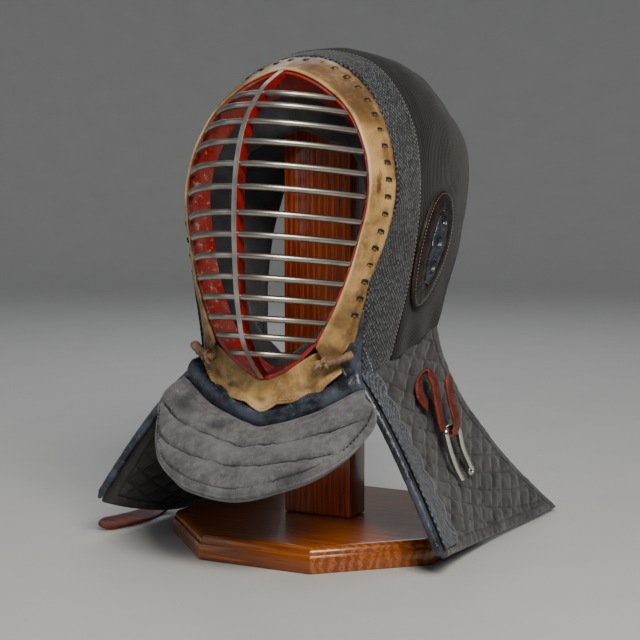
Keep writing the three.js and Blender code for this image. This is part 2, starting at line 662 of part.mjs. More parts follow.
// A place above the outer face of a flap. back and up are shares of the flap's length and reach.
function overFlap(surface, mirror, [back, up, height]) {
  const target = [back * flapLength, up * flapReach];
  let [bestU, bestV, span] = [0.5, 0.5, 0.5];
  for (let pass = 0; pass < 4; pass += 1) {
    let nearest = Infinity;
    const [midU, midV] = [bestU, bestV];
    for (let i = -12; i <= 12; i += 1) {
      for (let j = -12; j <= 12; j += 1) {
        const u = Math.min(Math.max(midU + (span * i) / 12, 0.01), 0.99);
        const v = Math.min(Math.max(midV + (span * j) / 12, 0.01), 0.99);
        const spot = surface(u, v);
        const distance = Math.hypot(spot.y - target[0], spot.z - target[1]);
        if (distance < nearest) [nearest, bestU, bestV] = [distance, u, v];
      }
    }
    span /= 8;
  }
  const du = surface(bestU + 0.01, bestV).sub(surface(bestU - 0.01, bestV));
  const dv = surface(bestU, bestV + 0.01).sub(surface(bestU, bestV - 0.01));
  const out = dv.cross(du).normalize();
  if (out.x * mirror < 0) out.negate();
  return surface(bestU, bestV).addScaledVector(out, height);
}
const flapRight = flapSurface(hemRight, 1);
const flapLeft = flapSurface(hemLeft, -1);
// Right strap: a tab on the flap, a strand over it down to the hook, and its end back up.
// Rows: back, up and the height above the middle of the flap.
const level = vector(-0.12, 1, 0);
const strapRows = [
  [-0.003, 0.75, 5.2], [-0.036, 0.815, 6], [-0.03, 0.885, 8.5], [-0.01, 0.92, 13],
  [-0.002, 0.86, 15.5], [0, 0.74, 13.5], [0.004, 0.61, 11.5], [0.012, 0.572, 15.8],
  [0.022, 0.61, 20.2], [0.034, 0.75, 21], [0.046, 0.88, 22],
];
const strapLine = strapRows.map((row) => [overFlap(flapRight, 1, row), level]);
const strapMake = (grow) => ribbon(strapLine, strapWidth, strapThickness, 34, grow);
add('strap_right', strapMake, 0x7a3b22, 0.55, 0, ['side_flap_right', 'edge_band_right', 'hood']);

// Wire hook: a long open loop of bent wire hanging in the strap's fold.
const hookRows = [
  [0.035, 0.35, 7.5], [0.01, 0.43, 9], [-0.02, 0.53, 13], [-0.028, 0.595, 15.8],
  [-0.015, 0.608, 15.9], [0.05, 0.608, 15.9], [0.06, 0.595, 15.8], [0.078, 0.5, 12],
  [0.115, 0.385, 9],
];
const hookLine = hookRows.map((row) => overFlap(flapRight, 1, row));
const hookMake = (grow) => roll(hookLine, hookWire + 2 * grow, 30);
add('strap_hook', hookMake, 0xd0d0cc, 0.2, 1, ['side_flap_right', 'strap_right']);

// Left strap: hangs down outside the left flap, its end lies forward on the floor.
const levelLeft = vector(0.1, 1, 0);
const onEdge = vector(-0.45, 0.1, 0.8);
const tipReach = 1.15 * flapReach;
const strapLeftLine = [
  [overFlap(flapLeft, -1, [0.02, 0.85, 6]), levelLeft],
  [overFlap(flapLeft, -1, [0.06, 0.6, 6]), levelLeft],
  [overFlap(flapLeft, -1, [0.1, 0.35, 6.5]), levelLeft],
  [overFlap(flapLeft, -1, [0.12, 0.18, 9]), vector(-0.2, 0.9, 0.2)],
  [vector(-tipReach * 0.95, 0.04 * flapLength, 5.5), vector(-0.8, 0.4, 0.3)],
  [vector(-tipReach * 0.935, -0.14 * flapLength, 6.2), onEdge],
  [vector(-tipReach, -0.265 * flapLength, 6.4), onEdge],
];
const leftMake = (grow) => ribbon(strapLeftLine, strapWidth, strapThickness, 30, grow);
add('strap_left', leftMake, 0x7a3b22, 0.55, 0, ['side_flap_left', 'edge_band_left']);

export default group;
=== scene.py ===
import math
from types import SimpleNamespace

import bmesh
import bpy
import numpy as np
from mathutils import Matrix, Vector


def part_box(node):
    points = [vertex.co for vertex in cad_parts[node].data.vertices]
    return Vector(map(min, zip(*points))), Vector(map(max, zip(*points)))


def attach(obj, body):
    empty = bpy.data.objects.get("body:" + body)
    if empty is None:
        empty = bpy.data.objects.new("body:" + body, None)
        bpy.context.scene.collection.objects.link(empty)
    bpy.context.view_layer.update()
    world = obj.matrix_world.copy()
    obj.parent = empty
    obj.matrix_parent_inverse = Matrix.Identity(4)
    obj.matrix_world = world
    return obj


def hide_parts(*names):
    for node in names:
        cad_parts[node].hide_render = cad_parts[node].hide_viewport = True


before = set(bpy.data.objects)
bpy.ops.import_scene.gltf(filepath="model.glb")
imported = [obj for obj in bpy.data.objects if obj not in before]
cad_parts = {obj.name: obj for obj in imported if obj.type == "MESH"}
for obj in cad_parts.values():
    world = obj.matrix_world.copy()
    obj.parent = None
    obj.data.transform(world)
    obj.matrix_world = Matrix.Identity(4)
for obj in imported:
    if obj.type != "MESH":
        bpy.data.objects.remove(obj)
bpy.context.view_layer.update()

MM = 0.001

# Sizes that follow the CAD part, in millimetres. Angles are in radians, and EAR_DROP is a share.
BASE_ACROSS_FLATS = 223
BASE_THICKNESS = 19
OPENING_HEIGHT = 223
OPENING_HALF_WIDTH = 75.5
GRILLE_DEPTH = 56
FACE_LEAN = math.radians(8.3)
FACE_CENTRE_Y = -80
FACE_CENTRE_Z = 246.5
BAR_DIAMETER = 4.2
BLADE_THICKNESS = 4
BLADE_DEPTH = 11
STRIP_DEPTH = 19
STRIP_THICKNESS = 2.2
RAWHIDE_THICKNESS = 2
HEAD_HALF_WIDTH = 95
HEAD_DEPTH = 222
CROWN_HEIGHT = 381
HOOD_THICKNESS = 6
BAND_THICKNESS = 4
FLAP_REACH = 145
FLAP_LENGTH = 260
FLAP_THICKNESS = 6
PIPING_DIAMETER = 7
EDGE_BAND_WIDTH = 35
THROAT_HALF_WIDTH = 88
THROAT_THICKNESS = 11
ROLL_THICKNESS = 8
CUSHION_THICKNESS = 11
STRAP_WIDTH = 14
STRAP_THICKNESS = 2.4
HOOK_WIRE = 3.4
EAR_HEIGHT = 78
EAR_WIDTH = 46
EAR_THICKNESS = 2.2
EAR_LEAN = 0.26
EAR_DROP = 0.381

# Camera: where the photograph was taken from.
CAMERA_AZIMUTH = math.radians(27.85)
CAMERA_PITCH = math.radians(6.0)
CAMERA_DISTANCE = 1.2808
CAMERA_HEIGHT = 0.3053
CAMERA_SIDESTEP = -0.0037
CAMERA_LENS = 93.3

camera_data = bpy.data.cameras.new("camera")
camera_data.lens = CAMERA_LENS
camera_data.sensor_width = 36
camera = bpy.data.objects.new("camera", camera_data)
bpy.context.collection.objects.link(camera)
sin_azimuth, cos_azimuth = math.sin(CAMERA_AZIMUTH), math.cos(CAMERA_AZIMUTH)
camera.location = (
    CAMERA_DISTANCE * sin_azimuth + CAMERA_SIDESTEP * cos_azimuth,
    -CAMERA_DISTANCE * cos_azimuth + CAMERA_SIDESTEP * sin_azimuth,
    CAMERA_HEIGHT,
)
camera.rotation_euler = (math.pi / 2 - CAMERA_PITCH, 0, CAMERA_AZIMUTH)
bpy.context.scene.camera = camera


# Smooth lines and waves, worked out for many points at a time.
def smooth(rows, t, closed=False):
    """Points on a smooth line through the rows, one for each t from 0 to 1."""
    rows = np.asarray(rows, float)
    t = np.clip(np.asarray(t, float), 0, 1)
    if rows.ndim == 2:
        rows = np.repeat(rows[:, None, :], len(t), axis=1)
    if closed:
        rows = np.concatenate([rows[-1:], rows, rows[:2]])
    else:
        before = 2 * rows[:1] - rows[1:2]
        after = 2 * rows[-1:] - rows[-2:-1]
        rows = np.concatenate([before, rows, after])
    spans = len(rows) - 3
    place = t * spans
    k = np.minimum(place.astype(int), spans - 1)
    f = (place - k)[:, None]
    which = np.arange(len(t))
    a, b, c, d = (rows[k + i, which] for i in range(4))
    curve = a - 2.5 * b + 2 * c - 0.5 * d + f * (1.5 * (b - c) + 0.5 * (d - a))
    return b + f * (0.5 * (c - a) + f * curve)


def both_sides(half):
    """Half a symmetric line, middle first, made whole from the -X end to the +X end."""
    mirrored = [(-row[0], *row[1:]) for row in half[:0:-1]]
    return np.array(mirrored + [tuple(row) for row in half], float)


def from_face(points):
    """Points given sideways, up and forward of the leaning face's centre."""
    points = np.asarray(points, float)
    side, up, forward = points[..., 0], points[..., 1], points[..., 2]
    y = FACE_CENTRE_Y + up * math.sin(FACE_LEAN) - forward * math.cos(FACE_LEAN)
    z = FACE_CENTRE_Z + up * math.cos(FACE_LEAN) + forward * math.sin(FACE_LEAN)
    return np.stack([side, y, z], axis=-1)


def waves(points, size, seed, count=14):
    """Gentle random waves of about that size over the points, from about -1 to 1."""
    random_numbers = np.random.default_rng(seed)
    total = np.zeros(points.shape[:-1])
    for _ in range(count):
        direction = random_numbers.normal(size=3)
        direction /= np.linalg.norm(direction)
        length = size * random_numbers.uniform(0.6, 1.7)
        phase = random_numbers.uniform(0, 2 * math.pi)
        total += np.sin(2 * math.pi * (points @ direction) / length + phase)
    return total / math.sqrt(count)


def soft_edge(distance, radius, least=0.2):
    """1 away from an edge, rounding off to the least share at the edge itself."""
    near = 1 - np.clip(distance / radius, 0, 1)
    return np.maximum(least, np.sqrt(np.clip(1 - near * near, 0, 1)))


def bump_at(distance, width):
    """1 on a line, falling away to 0 at about twice the width."""
    return np.exp(-((distance / width) ** 2))


def unit(vectors):
    """The vectors at length 1."""
    return vectors / np.linalg.norm(vectors, axis=-1, keepdims=True)


# Materials.
def colour(code):
    """An sRGB hex code as linear RGBA."""
    parts = [int(code[i : i + 2], 16) / 255 for i in (1, 3, 5)]
    linear = [c / 12.92 if c <= 0.04045 else ((c + 0.055) / 1.055) ** 2.4 for c in parts]
    return (*linear, 1)


def node(tree, kind, inputs=None, **settings):
    """Adds a node. An input is a value, or another node's output to link."""
    made = tree.nodes.new(kind)
    for name, value in settings.items():
        setattr(made, name, value)
    for socket, value in (inputs or {}).items():
        if isinstance(value, bpy.types.NodeSocket):
            tree.links.new(value, made.inputs[socket])
        else:
            made.inputs[socket].default_value = value
    return made


def new_material(name, **values):
    material = bpy.data.materials.new(name)
    material.use_nodes = True
    tree = material.node_tree
    shader = tree.nodes["Principled BSDF"]
    for socket, value in values.items():
        shader.inputs[socket.replace("_", " ")].default_value = value
    return material, tree, shader


def maths(tree, operation, first, second=0.0, third=0.0):
    inputs = {0: first, 1: second, 2: third}
    return node(tree, "ShaderNodeMath", inputs, operation=operation).outputs[0]


def times(tree, first, second):
    """One value times another."""
    return maths(tree, "MULTIPLY", first, second)


def blend(tree, share, first, second):
    """A mix of two colours. Each is a hex code or an output."""
    first = colour(first) if isinstance(first, str) else first
    second = colour(second) if isinstance(second, str) else second
    return node(tree, "ShaderNodeMix", {0: share, 6: first, 7: second}, data_type="RGBA").outputs[2]


def noise(tree, where, millimetres, detail=4, roughness=0.55, distortion=0.0):
    """Cloudy noise whose blots are about that many millimetres across."""
    inputs = {
        "Vector": where,
        "Scale": 1 / (millimetres * MM),
        "Detail": detail,
        "Roughness": roughness,
        "Distortion": distortion,
    }
    return node(tree, "ShaderNodeTexNoise", inputs).outputs["Fac"]


def between(tree, value, low, high, to_low=0.0, to_high=1.0):
    """The value's range low to high spread over another range, and no further."""
    inputs = {0: value, 1: low, 2: high, 3: to_low, 4: to_high}
    return node(tree, "ShaderNodeMapRange", inputs, interpolation_type="SMOOTHSTEP").outputs[0]


def stretched(tree, where, factors, turn=(0, 0, 0)):
    """Places turned, then scaled by three factors: under 1 draws the pattern out."""
    inputs = {"Vector": where, "Rotation": turn, "Scale": factors}
    return node(tree, "ShaderNodeMapping", inputs).outputs[0]


def paint(tree, shader, tone, roughness=None):
    """Gives the shader its colour, and its roughness where that varies."""
    tree.links.new(tone, shader.inputs["Base Color"])
    if roughness is not None:
        tree.links.new(roughness, shader.inputs["Roughness"])


def set_bump(tree, shader, height, millimetres, strength=1.0):
    """Relief of that height in millimetres on the shader's normal."""
    inputs = {"Height": height, "Distance": millimetres * MM, "Strength": strength}
    bump = node(tree, "ShaderNodeBump", inputs)
    tree.links.new(bump.outputs[0], shader.inputs["Normal"])


def shade_of(tree):
    """The tone that a piece's own points carry: 0 dark, 0.5 plain, 1 pale."""
    return node(tree, "ShaderNodeAttribute", attribute_name="shade").outputs["Fac"]


def plain_weave(tree, cloth, pitch):
    """Threads crossing at that many millimetres, from -1 to 1."""
    split = node(tree, "ShaderNodeSeparateXYZ", {0: cloth})
    turns = 2 * math.pi / (pitch * MM)
    warp, weft = (maths(tree, "SINE", times(tree, split.outputs[axis], turns)) for axis in (0, 1))
    return times(tree, warp, weft)


def places_of(tree):
    """Object coordinates, and the piece's own UV map, which is in metres along the cloth."""
    coordinates = node(tree, "ShaderNodeTexCoord")
    return coordinates.outputs["Object"], coordinates.outputs["UV"]


def varnished_oak(name, grain_axis, dark, light):
    # Oak, stained orange-brown and varnished: long rings, dark open pores, a clear glossy coat.
    material, tree, shader = new_material(
        name, Roughness=0.3, Coat_Weight=0.55, Coat_Roughness=0.1, Specular_IOR_Level=0.4
    )
    where, _ = places_of(tree)
    if grain_axis == "x":
        # On the sides that look along X the grain runs along Y.
        normal = node(tree, "ShaderNodeNewGeometry").outputs["Normal"]
        across = node(tree, "ShaderNodeSeparateXYZ", {0: normal}).outputs[0]
        ends = maths(tree, "GREATER_THAN", maths(tree, "ABSOLUTE", across), 0.6)
        turned = stretched(tree, where, (1, 1, 1), (0, 0, math.pi / 2))
        choice = {0: ends, 4: where, 5: turned}
        where = node(tree, "ShaderNodeMix", choice, data_type="VECTOR").outputs[1]
    grain = stretched(tree, where, {"x": (0.07, 1, 1), "z": (1, 1, 0.07)}[grain_axis])
    fine = stretched(tree, where, {"x": (0.02, 1, 1), "z": (1, 1, 0.02)}[grain_axis])
    coarse = stretched(tree, where, {"x": (0.05, 1, 1), "z": (1, 1, 0.05)}[grain_axis])
    drift = noise(tree, grain, 60, detail=2)
    rings = node(
        tree,
        "ShaderNodeTexWave",
        {"Vector": grain, "Scale": 62, "Distortion": 7, "Detail": 4, "Detail Scale": 1.6},
        wave_type="BANDS",
        bands_direction="Y" if grain_axis == "x" else "X",
    ).outputs["Fac"]
    fibre = noise(tree, fine, 1.1, 5)
    pores = between(tree, noise(tree, coarse, 0.8, 2), 0.62, 0.7)
    tone = blend(tree, between(tree, rings, 0.25, 0.75), dark, light)
    tone = blend(tree, between(tree, fibre, 0.35, 0.66, 0.0, 0.8), tone, "#4c1b05")
    tone = blend(tree, between(tree, drift, 0.3, 0.75, 0.0, 0.45), tone, light)
    tone = blend(tree, times(tree, pores, 0.9), tone, "#1e0a03")
    paint(tree, shader, tone)
    set_bump(tree, shader, times(tree, pores, -1.0), 0.12, 0.6)
    return material


def satin_steel(name="satin_plated_steel", pale="#b3b0a6", dull="#98958a", rough=0.3):
    # Nickel-plated steel wire, rubbed satin by use: small dull blots along a soft shine.
    material, tree, shader = new_material(name, Metallic=1.0)
    where, _ = places_of(tree)
    blots = noise(tree, where, 14, 3, 0.5)
    tone = blend(tree, between(tree, blots, 0.35, 0.7), pale, dull)
    paint(tree, shader, tone, between(tree, blots, 0.3, 0.75, rough, rough + 0.06))
    return material


def red_lacquer():
    # Vermilion lacquer on metal, worn pink and chipped white where the cloth rubs.
    material, tree, shader = new_material("vermilion_lacquer", Coat_Weight=0.3, Coat_Roughness=0.2)
    where, _ = places_of(tree)
    clouds = noise(tree, where, 22, 5, 0.6)
    chips = between(tree, noise(tree, where, 4.5, 6, 0.7), 0.57, 0.64)
    dirt = between(tree, noise(tree, where, 9, 5, 0.65), 0.55, 0.75)
    split = node(tree, "ShaderNodeSeparateXYZ", {0: where})
    worn = between(tree, split.outputs[0], 0.03, -0.05, 0.2, 0.8)
    pink = times(tree, between(tree, clouds, 0.4, 0.62), worn)
    tone = blend(tree, between(tree, clouds, 0.35, 0.65), "#a3160a", "#7c0f08")
    tone = blend(tree, pink, tone, "#a04a42")
    tone = blend(tree, times(tree, chips, worn), tone, "#cfa898")
    tone = blend(tree, times(tree, dirt, 0.75), tone, "#2e100c")
    paint(tree, shader, tone, between(tree, clouds, 0.3, 0.7, 0.35, 0.6))
    set_bump(tree, shader, chips, 0.12, 0.5)
    return material


def blade_lacquer():
    # The same vermilion lacquer on the blade's sides, hardly worn.
    material, tree, shader = new_material("fresh_vermilion_lacquer", Roughness=0.35, Coat_Weight=0.3)
    where, _ = places_of(tree)
    clouds = noise(tree, where, 12, 4)
    tone = blend(tree, between(tree, clouds, 0.4, 0.7), "#8f1607", "#620d05")
    paint(tree, shader, tone)
    return material


def golden_rawhide():
    # Rawhide, scraped and oiled: ochre with brown blotches, made paler or darker by each piece's shade
    # values.
    material, tree, shader = new_material(
        "oiled_rawhide", Specular_IOR_Level=0.45, Coat_Weight=0.12, Coat_Roughness=0.35
    )
    where, _ = places_of(tree)
    blotches = noise(tree, where, 26, 6, 0.62, 0.4)
    small = noise(tree, where, 5, 5, 0.6)
    pores = noise(tree, where, 0.9, 3, 0.6)
    specks = between(tree, noise(tree, where, 2.2, 4, 0.7), 0.62, 0.72)
    tone = blend(tree, between(tree, blotches, 0.36, 0.66), "#bf9a5f", "#7c5a2b")
    tone = blend(tree, between(tree, small, 0.45, 0.75, 0.0, 0.45), tone, "#c6a872")
    tone = blend(tree, times(tree, specks, 0.5), tone, "#5c3a18")
    shade = shade_of(tree)
    # Shade values over 0.5 paint the hide paler: on the rim this is a painted highlight along its inner edge.
    tone = blend(tree, times(tree, between(tree, shade, 0.5, 1.0), 0.75), tone, "#dcc697")
    # Shade values under 0.5 darken it: on the rim this is painted shade low down, on its left and at its top,
    # with its scratch and darker bands; on the chin it is the fold.
    dark = times(tree, between(tree, shade, 0.5, 0.0), between(tree, small, 0.25, 0.6, 0.55, 1.0))
    tone = blend(tree, times(tree, dark, 0.85), tone, "#4a3016")
    paint(tree, shader, tone, between(tree, blotches, 0.3, 0.7, 0.38, 0.55))
    height = maths(tree, "MULTIPLY_ADD", pores, 0.35, times(tree, small, 0.65))
    set_bump(tree, shader, height, 0.55, 0.5)
    return material


def navy_leather(name="navy_leather", deep="#151a24", pale="#414a5a", scuff="#838c9b", shine=0.25):
    # Indigo-dyed leather, dark and half glossy, its grain scuffed pale on the high places.
    material, tree, shader = new_material(name, Specular_IOR_Level=0.5, Coat_Weight=0.3, Coat_Roughness=0.25)
    where, _ = places_of(tree)
    cells = node(
        tree, "ShaderNodeTexVoronoi", {"Vector": where, "Scale": 1 / (1.3 * MM)}, feature="DISTANCE_TO_EDGE"
    ).outputs["Distance"]
    grain = between(tree, cells, 0.0, 0.25)
    clouds = noise(tree, where, 16, 5, 0.6)
    rubbed = between(tree, noise(tree, where, 3.2, 6, 0.7), 0.56, 0.72)
    tone = blend(tree, between(tree, clouds, 0.35, 0.7), deep, pale)
    tone = blend(tree, times(tree, rubbed, 0.35), tone, scuff)
    paint(tree, shader, tone, between(tree, clouds, 0.3, 0.7, shine - 0.06, shine + 0.12))
    height = maths(tree, "MULTIPLY_ADD", grain, 0.35, times(tree, clouds, 0.65))
    set_bump(tree, shader, height, 0.5, 0.45)
    return material


def felted_cotton():
    # Indigo cotton washed to grey and rubbed to a felt: soft clouds, lint specks, a dull sheen.
    material, tree, shader = new_material(
        "felted_cotton", Roughness=0.95, Specular_IOR_Level=0.12, Sheen_Weight=0.25, Sheen_Roughness=0.5
    )
    where, _ = places_of(tree)
    clouds = noise(tree, where, 20, 6, 0.62)
    mottle = noise(tree, where, 5, 5, 0.65)
    fibres = noise(tree, stretched(tree, where, (1, 1, 0.35)), 0.9, 4, 0.7)
    lint = between(tree, noise(tree, where, 1.5, 2, 0.5), 0.73, 0.78)
    stitch_lines_and_highlight = shade_of(tree)
    tone = blend(tree, between(tree, clouds, 0.33, 0.68), "#545456", "#69696b")
    tone = blend(tree, between(tree, mottle, 0.4, 0.7, 0.0, 0.5), tone, "#7a7b7d")
    tone = blend(tree, between(tree, fibres, 0.45, 0.75, 0.0, 0.35), tone, "#38393c")
    # Shade values over 0.5 paint it paler: the painted highlight on the channels just below each quilting
    # line.
    tone = blend(tree, times(tree, between(tree, stitch_lines_and_highlight, 0.5, 1.0), 0.35), tone, "#7c7d80")
    # Shade values under 0.5 darken it along the stitched lines.
    tone = blend(tree, times(tree, between(tree, stitch_lines_and_highlight, 0.5, 0.0), 0.8), tone, "#1c1c1e")
    tone = blend(tree, times(tree, lint, 0.8), tone, "#c8c8c6")
    paint(tree, shader, tone)
    height = maths(tree, "MULTIPLY_ADD", fibres, 0.5, times(tree, mottle, 0.5))
    set_bump(tree, shader, height, 0.7, 0.6)
    return material


def weave(name, thread, ground, fleck, pitch=2.3, fleck_share=0.75, relief=0.4):
    # Heavy cotton woven in small diamonds: pale threads lie over an indigo ground.
    material, tree, shader = new_material(
        name, Roughness=0.92, Specular_IOR_Level=0.15, Sheen_Weight=0.15, Sheen_Roughness=0.5
    )
    where, cloth = places_of(tree)
    turned = stretched(tree, cloth, (1, 0.62, 1), (0, 0, math.pi / 4))
    cells = node(
        tree,
        "ShaderNodeTexVoronoi",
        {"Vector": turned, "Scale": 1 / (pitch * 0.78 * MM), "Randomness": 0.3},
    )
    knots = between(tree, cells.outputs["Distance"], 0.62, 0.12)
    own = node(tree, "ShaderNodeSeparateColor", {0: cells.outputs["Color"]}).outputs[0]
    patchy = noise(tree, cloth, 1.2, 3, 0.7)
    lit = times(tree, between(tree, own, 0.1, 0.9, 0.3, 1.0), between(tree, patchy, 0.3, 0.6, 0.5, 1.0))
    lit = times(tree, lit, knots)
    clouds = noise(tree, where, 30, 5, 0.6)
    tone = blend(tree, knots, ground, thread)
    tone = blend(tree, times(tree, lit, fleck_share), tone, fleck)
    tone = blend(tree, between(tree, clouds, 0.4, 0.75, 0.0, 0.3), tone, ground)
    paint(tree, shader, tone)
    height = maths(tree, "MULTIPLY_ADD", patchy, 0.4, knots)
    set_bump(tree, shader, height, relief, 0.8)
    return material


RIB_STEP = 2.2
BEAD_STEP = 2.6


def ribbed_quilting():
    # The hood's close quilting: rows of beaded stitches that follow its outline.
    # They are drawn a little coarser than real ones, which would not show in the render.
    material, tree, shader = new_material(
        "ribbed_quilted_cotton", Roughness=0.94, Specular_IOR_Level=0.12, Sheen_Weight=0.1
    )
    where, cloth = places_of(tree)
    split = node(tree, "ShaderNodeSeparateXYZ", {0: cloth})
    wander = noise(tree, cloth, 24, 3)
    rows = maths(tree, "MULTIPLY_ADD", split.outputs[0], 2 * math.pi / (RIB_STEP * MM), wander)
    ribs = maths(tree, "SINE", rows)
    beads = maths(tree, "SINE", times(tree, split.outputs[1], 2 * math.pi / (BEAD_STEP * MM)))
    long_threads = noise(tree, stretched(tree, cloth, (1, 0.06, 1)), 1.6, 4, 0.65)
    clouds = noise(tree, where, 45, 5, 0.6)
    tone = blend(tree, between(tree, ribs, -1.0, 0.9), "#18191a", "#2b2c2d")
    tone = blend(tree, between(tree, long_threads, 0.42, 0.7, 0.0, 0.5), tone, "#3b3c3d")
    tone = blend(tree, between(tree, clouds, 0.35, 0.7, 0.0, 0.45), tone, "#222324")
    paint(tree, shader, tone)
    height = maths(tree, "MULTIPLY_ADD", beads, 0.18, maths(tree, "MULTIPLY_ADD", long_threads, 0.5, ribs))
    set_bump(tree, shader, height, 0.2, 0.7)
    return material


def quilted_cotton():
    # The flaps' cotton, washed to charcoal: a plain weave under diamonds of stitching.
    material, tree, shader = new_material(
        "diamond_quilted_cotton", Roughness=0.94, Specular_IOR_Level=0.12, Sheen_Weight=0.22
    )
    where, cloth = places_of(tree)
    threads = plain_weave(tree, cloth, 1.5)
    clouds = noise(tree, where, 26, 6, 0.62)
    mottle = noise(tree, cloth, 2.4, 5, 0.7)
    seam = shade_of(tree)
    tone = blend(tree, between(tree, clouds, 0.35, 0.7), "#38383a", "#48484a")
    tone = blend(tree, between(tree, mottle, 0.45, 0.75, 0.0, 0.45), tone, "#535355")
    tone = blend(tree, between(tree, threads, -0.2, -0.9, 0.0, 0.35), tone, "#232323")
    tone = blend(tree, times(tree, between(tree, seam, 0.5, 0.0), 0.75), tone, "#19191a")
    tone = blend(tree, times(tree, between(tree, seam, 0.5, 1.0), 0.25), tone, "#7a7974")
    paint(tree, shader, tone)
    height = maths(tree, "MULTIPLY_ADD", mottle, 0.8, times(tree, threads, 0.35))
    set_bump(tree, shader, height, 0.35, 0.7)
    return material


def lining_cotton():
    # Navy lining cotton inside the hood, a plain dark weave polished by wear.
    material, tree, shader = new_material(
        "navy_lining_cotton", Roughness=0.9, Specular_IOR_Level=0.15, Sheen_Weight=0.2
    )
    where, cloth = places_of(tree)
    threads = plain_weave(tree, cloth, 1.8)
    clouds = noise(tree, where, 24, 6, 0.6)
    tone = blend(tree, between(tree, clouds, 0.35, 0.7), "#22252b", "#3a3d42")
    tone = blend(tree, between(tree, threads, 0.0, 1.0, 0.0, 0.35), tone, "#4c4f54")
    paint(tree, shader, tone)
    set_bump(tree, shader, maths(tree, "MULTIPLY_ADD", clouds, 1.5, threads), 0.3, 0.7)
    return material


def brown_lacquered_leather():
    # Hard lacquered leather round the ear: red-brown under a cracked dark gloss.
    material, tree, shader = new_material(
        "brown_lacquered_leather", Specular_IOR_Level=0.3, Coat_Weight=0.22, Coat_Roughness=0.15
    )
    where, _ = places_of(tree)
    clouds = noise(tree, where, 11, 6, 0.62)
    cracks = between(tree, noise(tree, where, 2.5, 6, 0.7), 0.55, 0.66)
    tone = blend(tree, between(tree, clouds, 0.4, 0.65), "#150c09", "#2a130c")
    tone = blend(tree, times(tree, cracks, 0.7), tone, "#120b09")
    paint(tree, shader, tone, between(tree, clouds, 0.3, 0.7, 0.28, 0.45))
    set_bump(tree, shader, maths(tree, "SUBTRACT", clouds, times(tree, cracks, 0.4)), 0.5, 0.6)
    return material


def dyed_leather(name, dark, light, edge, grain_size=0.9, rough=0.5):
    # Vegetable-tanned leather: a fine grain, darker smears, edges rubbed pale.
    material, tree, shader = new_material(name, Specular_IOR_Level=0.3, Coat_Weight=0.05, Coat_Roughness=0.4)
    where, _ = places_of(tree)
    clouds = noise(tree, where, 12, 6, 0.65)
    grain = noise(tree, where, grain_size, 3, 0.6)
    creases = between(tree, noise(tree, where, 3, 6, 0.7), 0.56, 0.68)
    tone = blend(tree, between(tree, clouds, 0.35, 0.68), dark, light)
    tone = blend(tree, times(tree, creases, 0.4), tone, edge)
    paint(tree, shader, tone, between(tree, clouds, 0.3, 0.7, rough - 0.08, rough + 0.1))
    set_bump(tree, shader, maths(tree, "MULTIPLY_ADD", grain, 0.4, clouds), 0.5, 0.5)
    return material


def polished_wire():
    # The hook's bright nickel-plated wire, with a few fine scratches.
    material, tree, shader = new_material("bright_plated_wire", Metallic=1.0)
    where, _ = places_of(tree)
    blots = noise(tree, where, 3, 5, 0.6)
    paint(tree, shader, blend(tree, blots, "#e6e4dc", "#c8c5ba"), between(tree, blots, 0.3, 0.7, 0.08, 0.24))
    return material


def waxed_thread(name, dark, light):
    # Twisted waxed thread: two tones that turn round it.
    material, tree, shader = new_material(name, Roughness=0.7, Specular_IOR_Level=0.3)
    where, _ = places_of(tree)
    paint(tree, shader, blend(tree, noise(tree, where, 0.8, 3), dark, light))
    return material


OAK_FLAT = varnished_oak("varnished_oak_board", "x", "#6b300c", "#b3621c")
OAK_UPRIGHT = varnished_oak("varnished_oak_post", "z", "#802a06", "#bb520f")
STEEL = satin_steel()
# The blade's steel is painted paler than the bars' to offset the dark surroundings it reflects: painted
# light.
BLADE_STEEL = satin_steel("paler_blade_steel", "#c4c3bd", "#a3a19a", 0.4)
RED = red_lacquer()
BLADE_RED = blade_lacquer()
RAWHIDE = golden_rawhide()
NAVY = navy_leather()
EAR_NAVY = navy_leather("pierced_navy_leather", "#0d1016", "#242b38", "#8a94a6", 0.22)
FELT = felted_cotton()
BAND_WEAVE = weave("diamond_woven_cotton", "#3b3e41", "#1f2123", "#75797d")
EDGE_WEAVE = weave("edge_woven_cotton", "#4c525c", "#2a2e35", "#828a96", 2.9, 0.7)
HOOD_CLOTH = ribbed_quilting()
FLAP_CLOTH = quilted_cotton()
LINING = lining_cotton()
EAR_BROWN = brown_lacquered_leather()
STRAP_BROWN = dyed_leather("red_brown_strap_leather", "#521d12", "#7e3a28", "#a86a50")
LACE_HIDE = dyed_leather("greyed_rawhide_lace", "#6a5240", "#97795c", "#3c2c20", 0.7, 0.62)
DARK_THONG = dyed_leather("dark_lacing_thong", "#1c1410", "#3a2a1c", "#5c452c", 0.7, 0.6)
WIRE = polished_wire()
PALE_THREAD = waxed_thread("pale_waxed_thread", "#8f856e", "#c9bea2")
DARK_THREAD = waxed_thread("dark_waxed_thread", "#101012", "#26262a")
GREY_THREAD = waxed_thread("grey_cotton_thread", "#6d6d6b", "#92918d")
CORD_THREAD = waxed_thread("grey_edge_cord", "#565a61", "#7d828a")


# Making pieces.
def finish_piece(mesh_maker, name, cad_node, materials):
    """Turns a bmesh into a piece that rides on the frame and stands for its CAD node."""
    mesh = bpy.data.meshes.new(name)
    mesh_maker.to_mesh(mesh)
    mesh_maker.free()
    piece = bpy.data.objects.new(name, mesh)
    bpy.context.collection.objects.link(piece)
    for material in materials:
        mesh.materials.append(material)
    mesh.polygons.foreach_set("use_smooth", [True] * len(mesh.polygons))
    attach(piece, "root")
    if cad_node:
        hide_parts(cad_node)
    return piece


def face_out(maker):
    """Turns the faces of a closed body outwards."""
    bmesh.ops.recalc_face_normals(maker, faces=maker.faces[:])
    if maker.calc_volume(signed=True) < 0:
        bmesh.ops.reverse_faces(maker, faces=maker.faces[:])


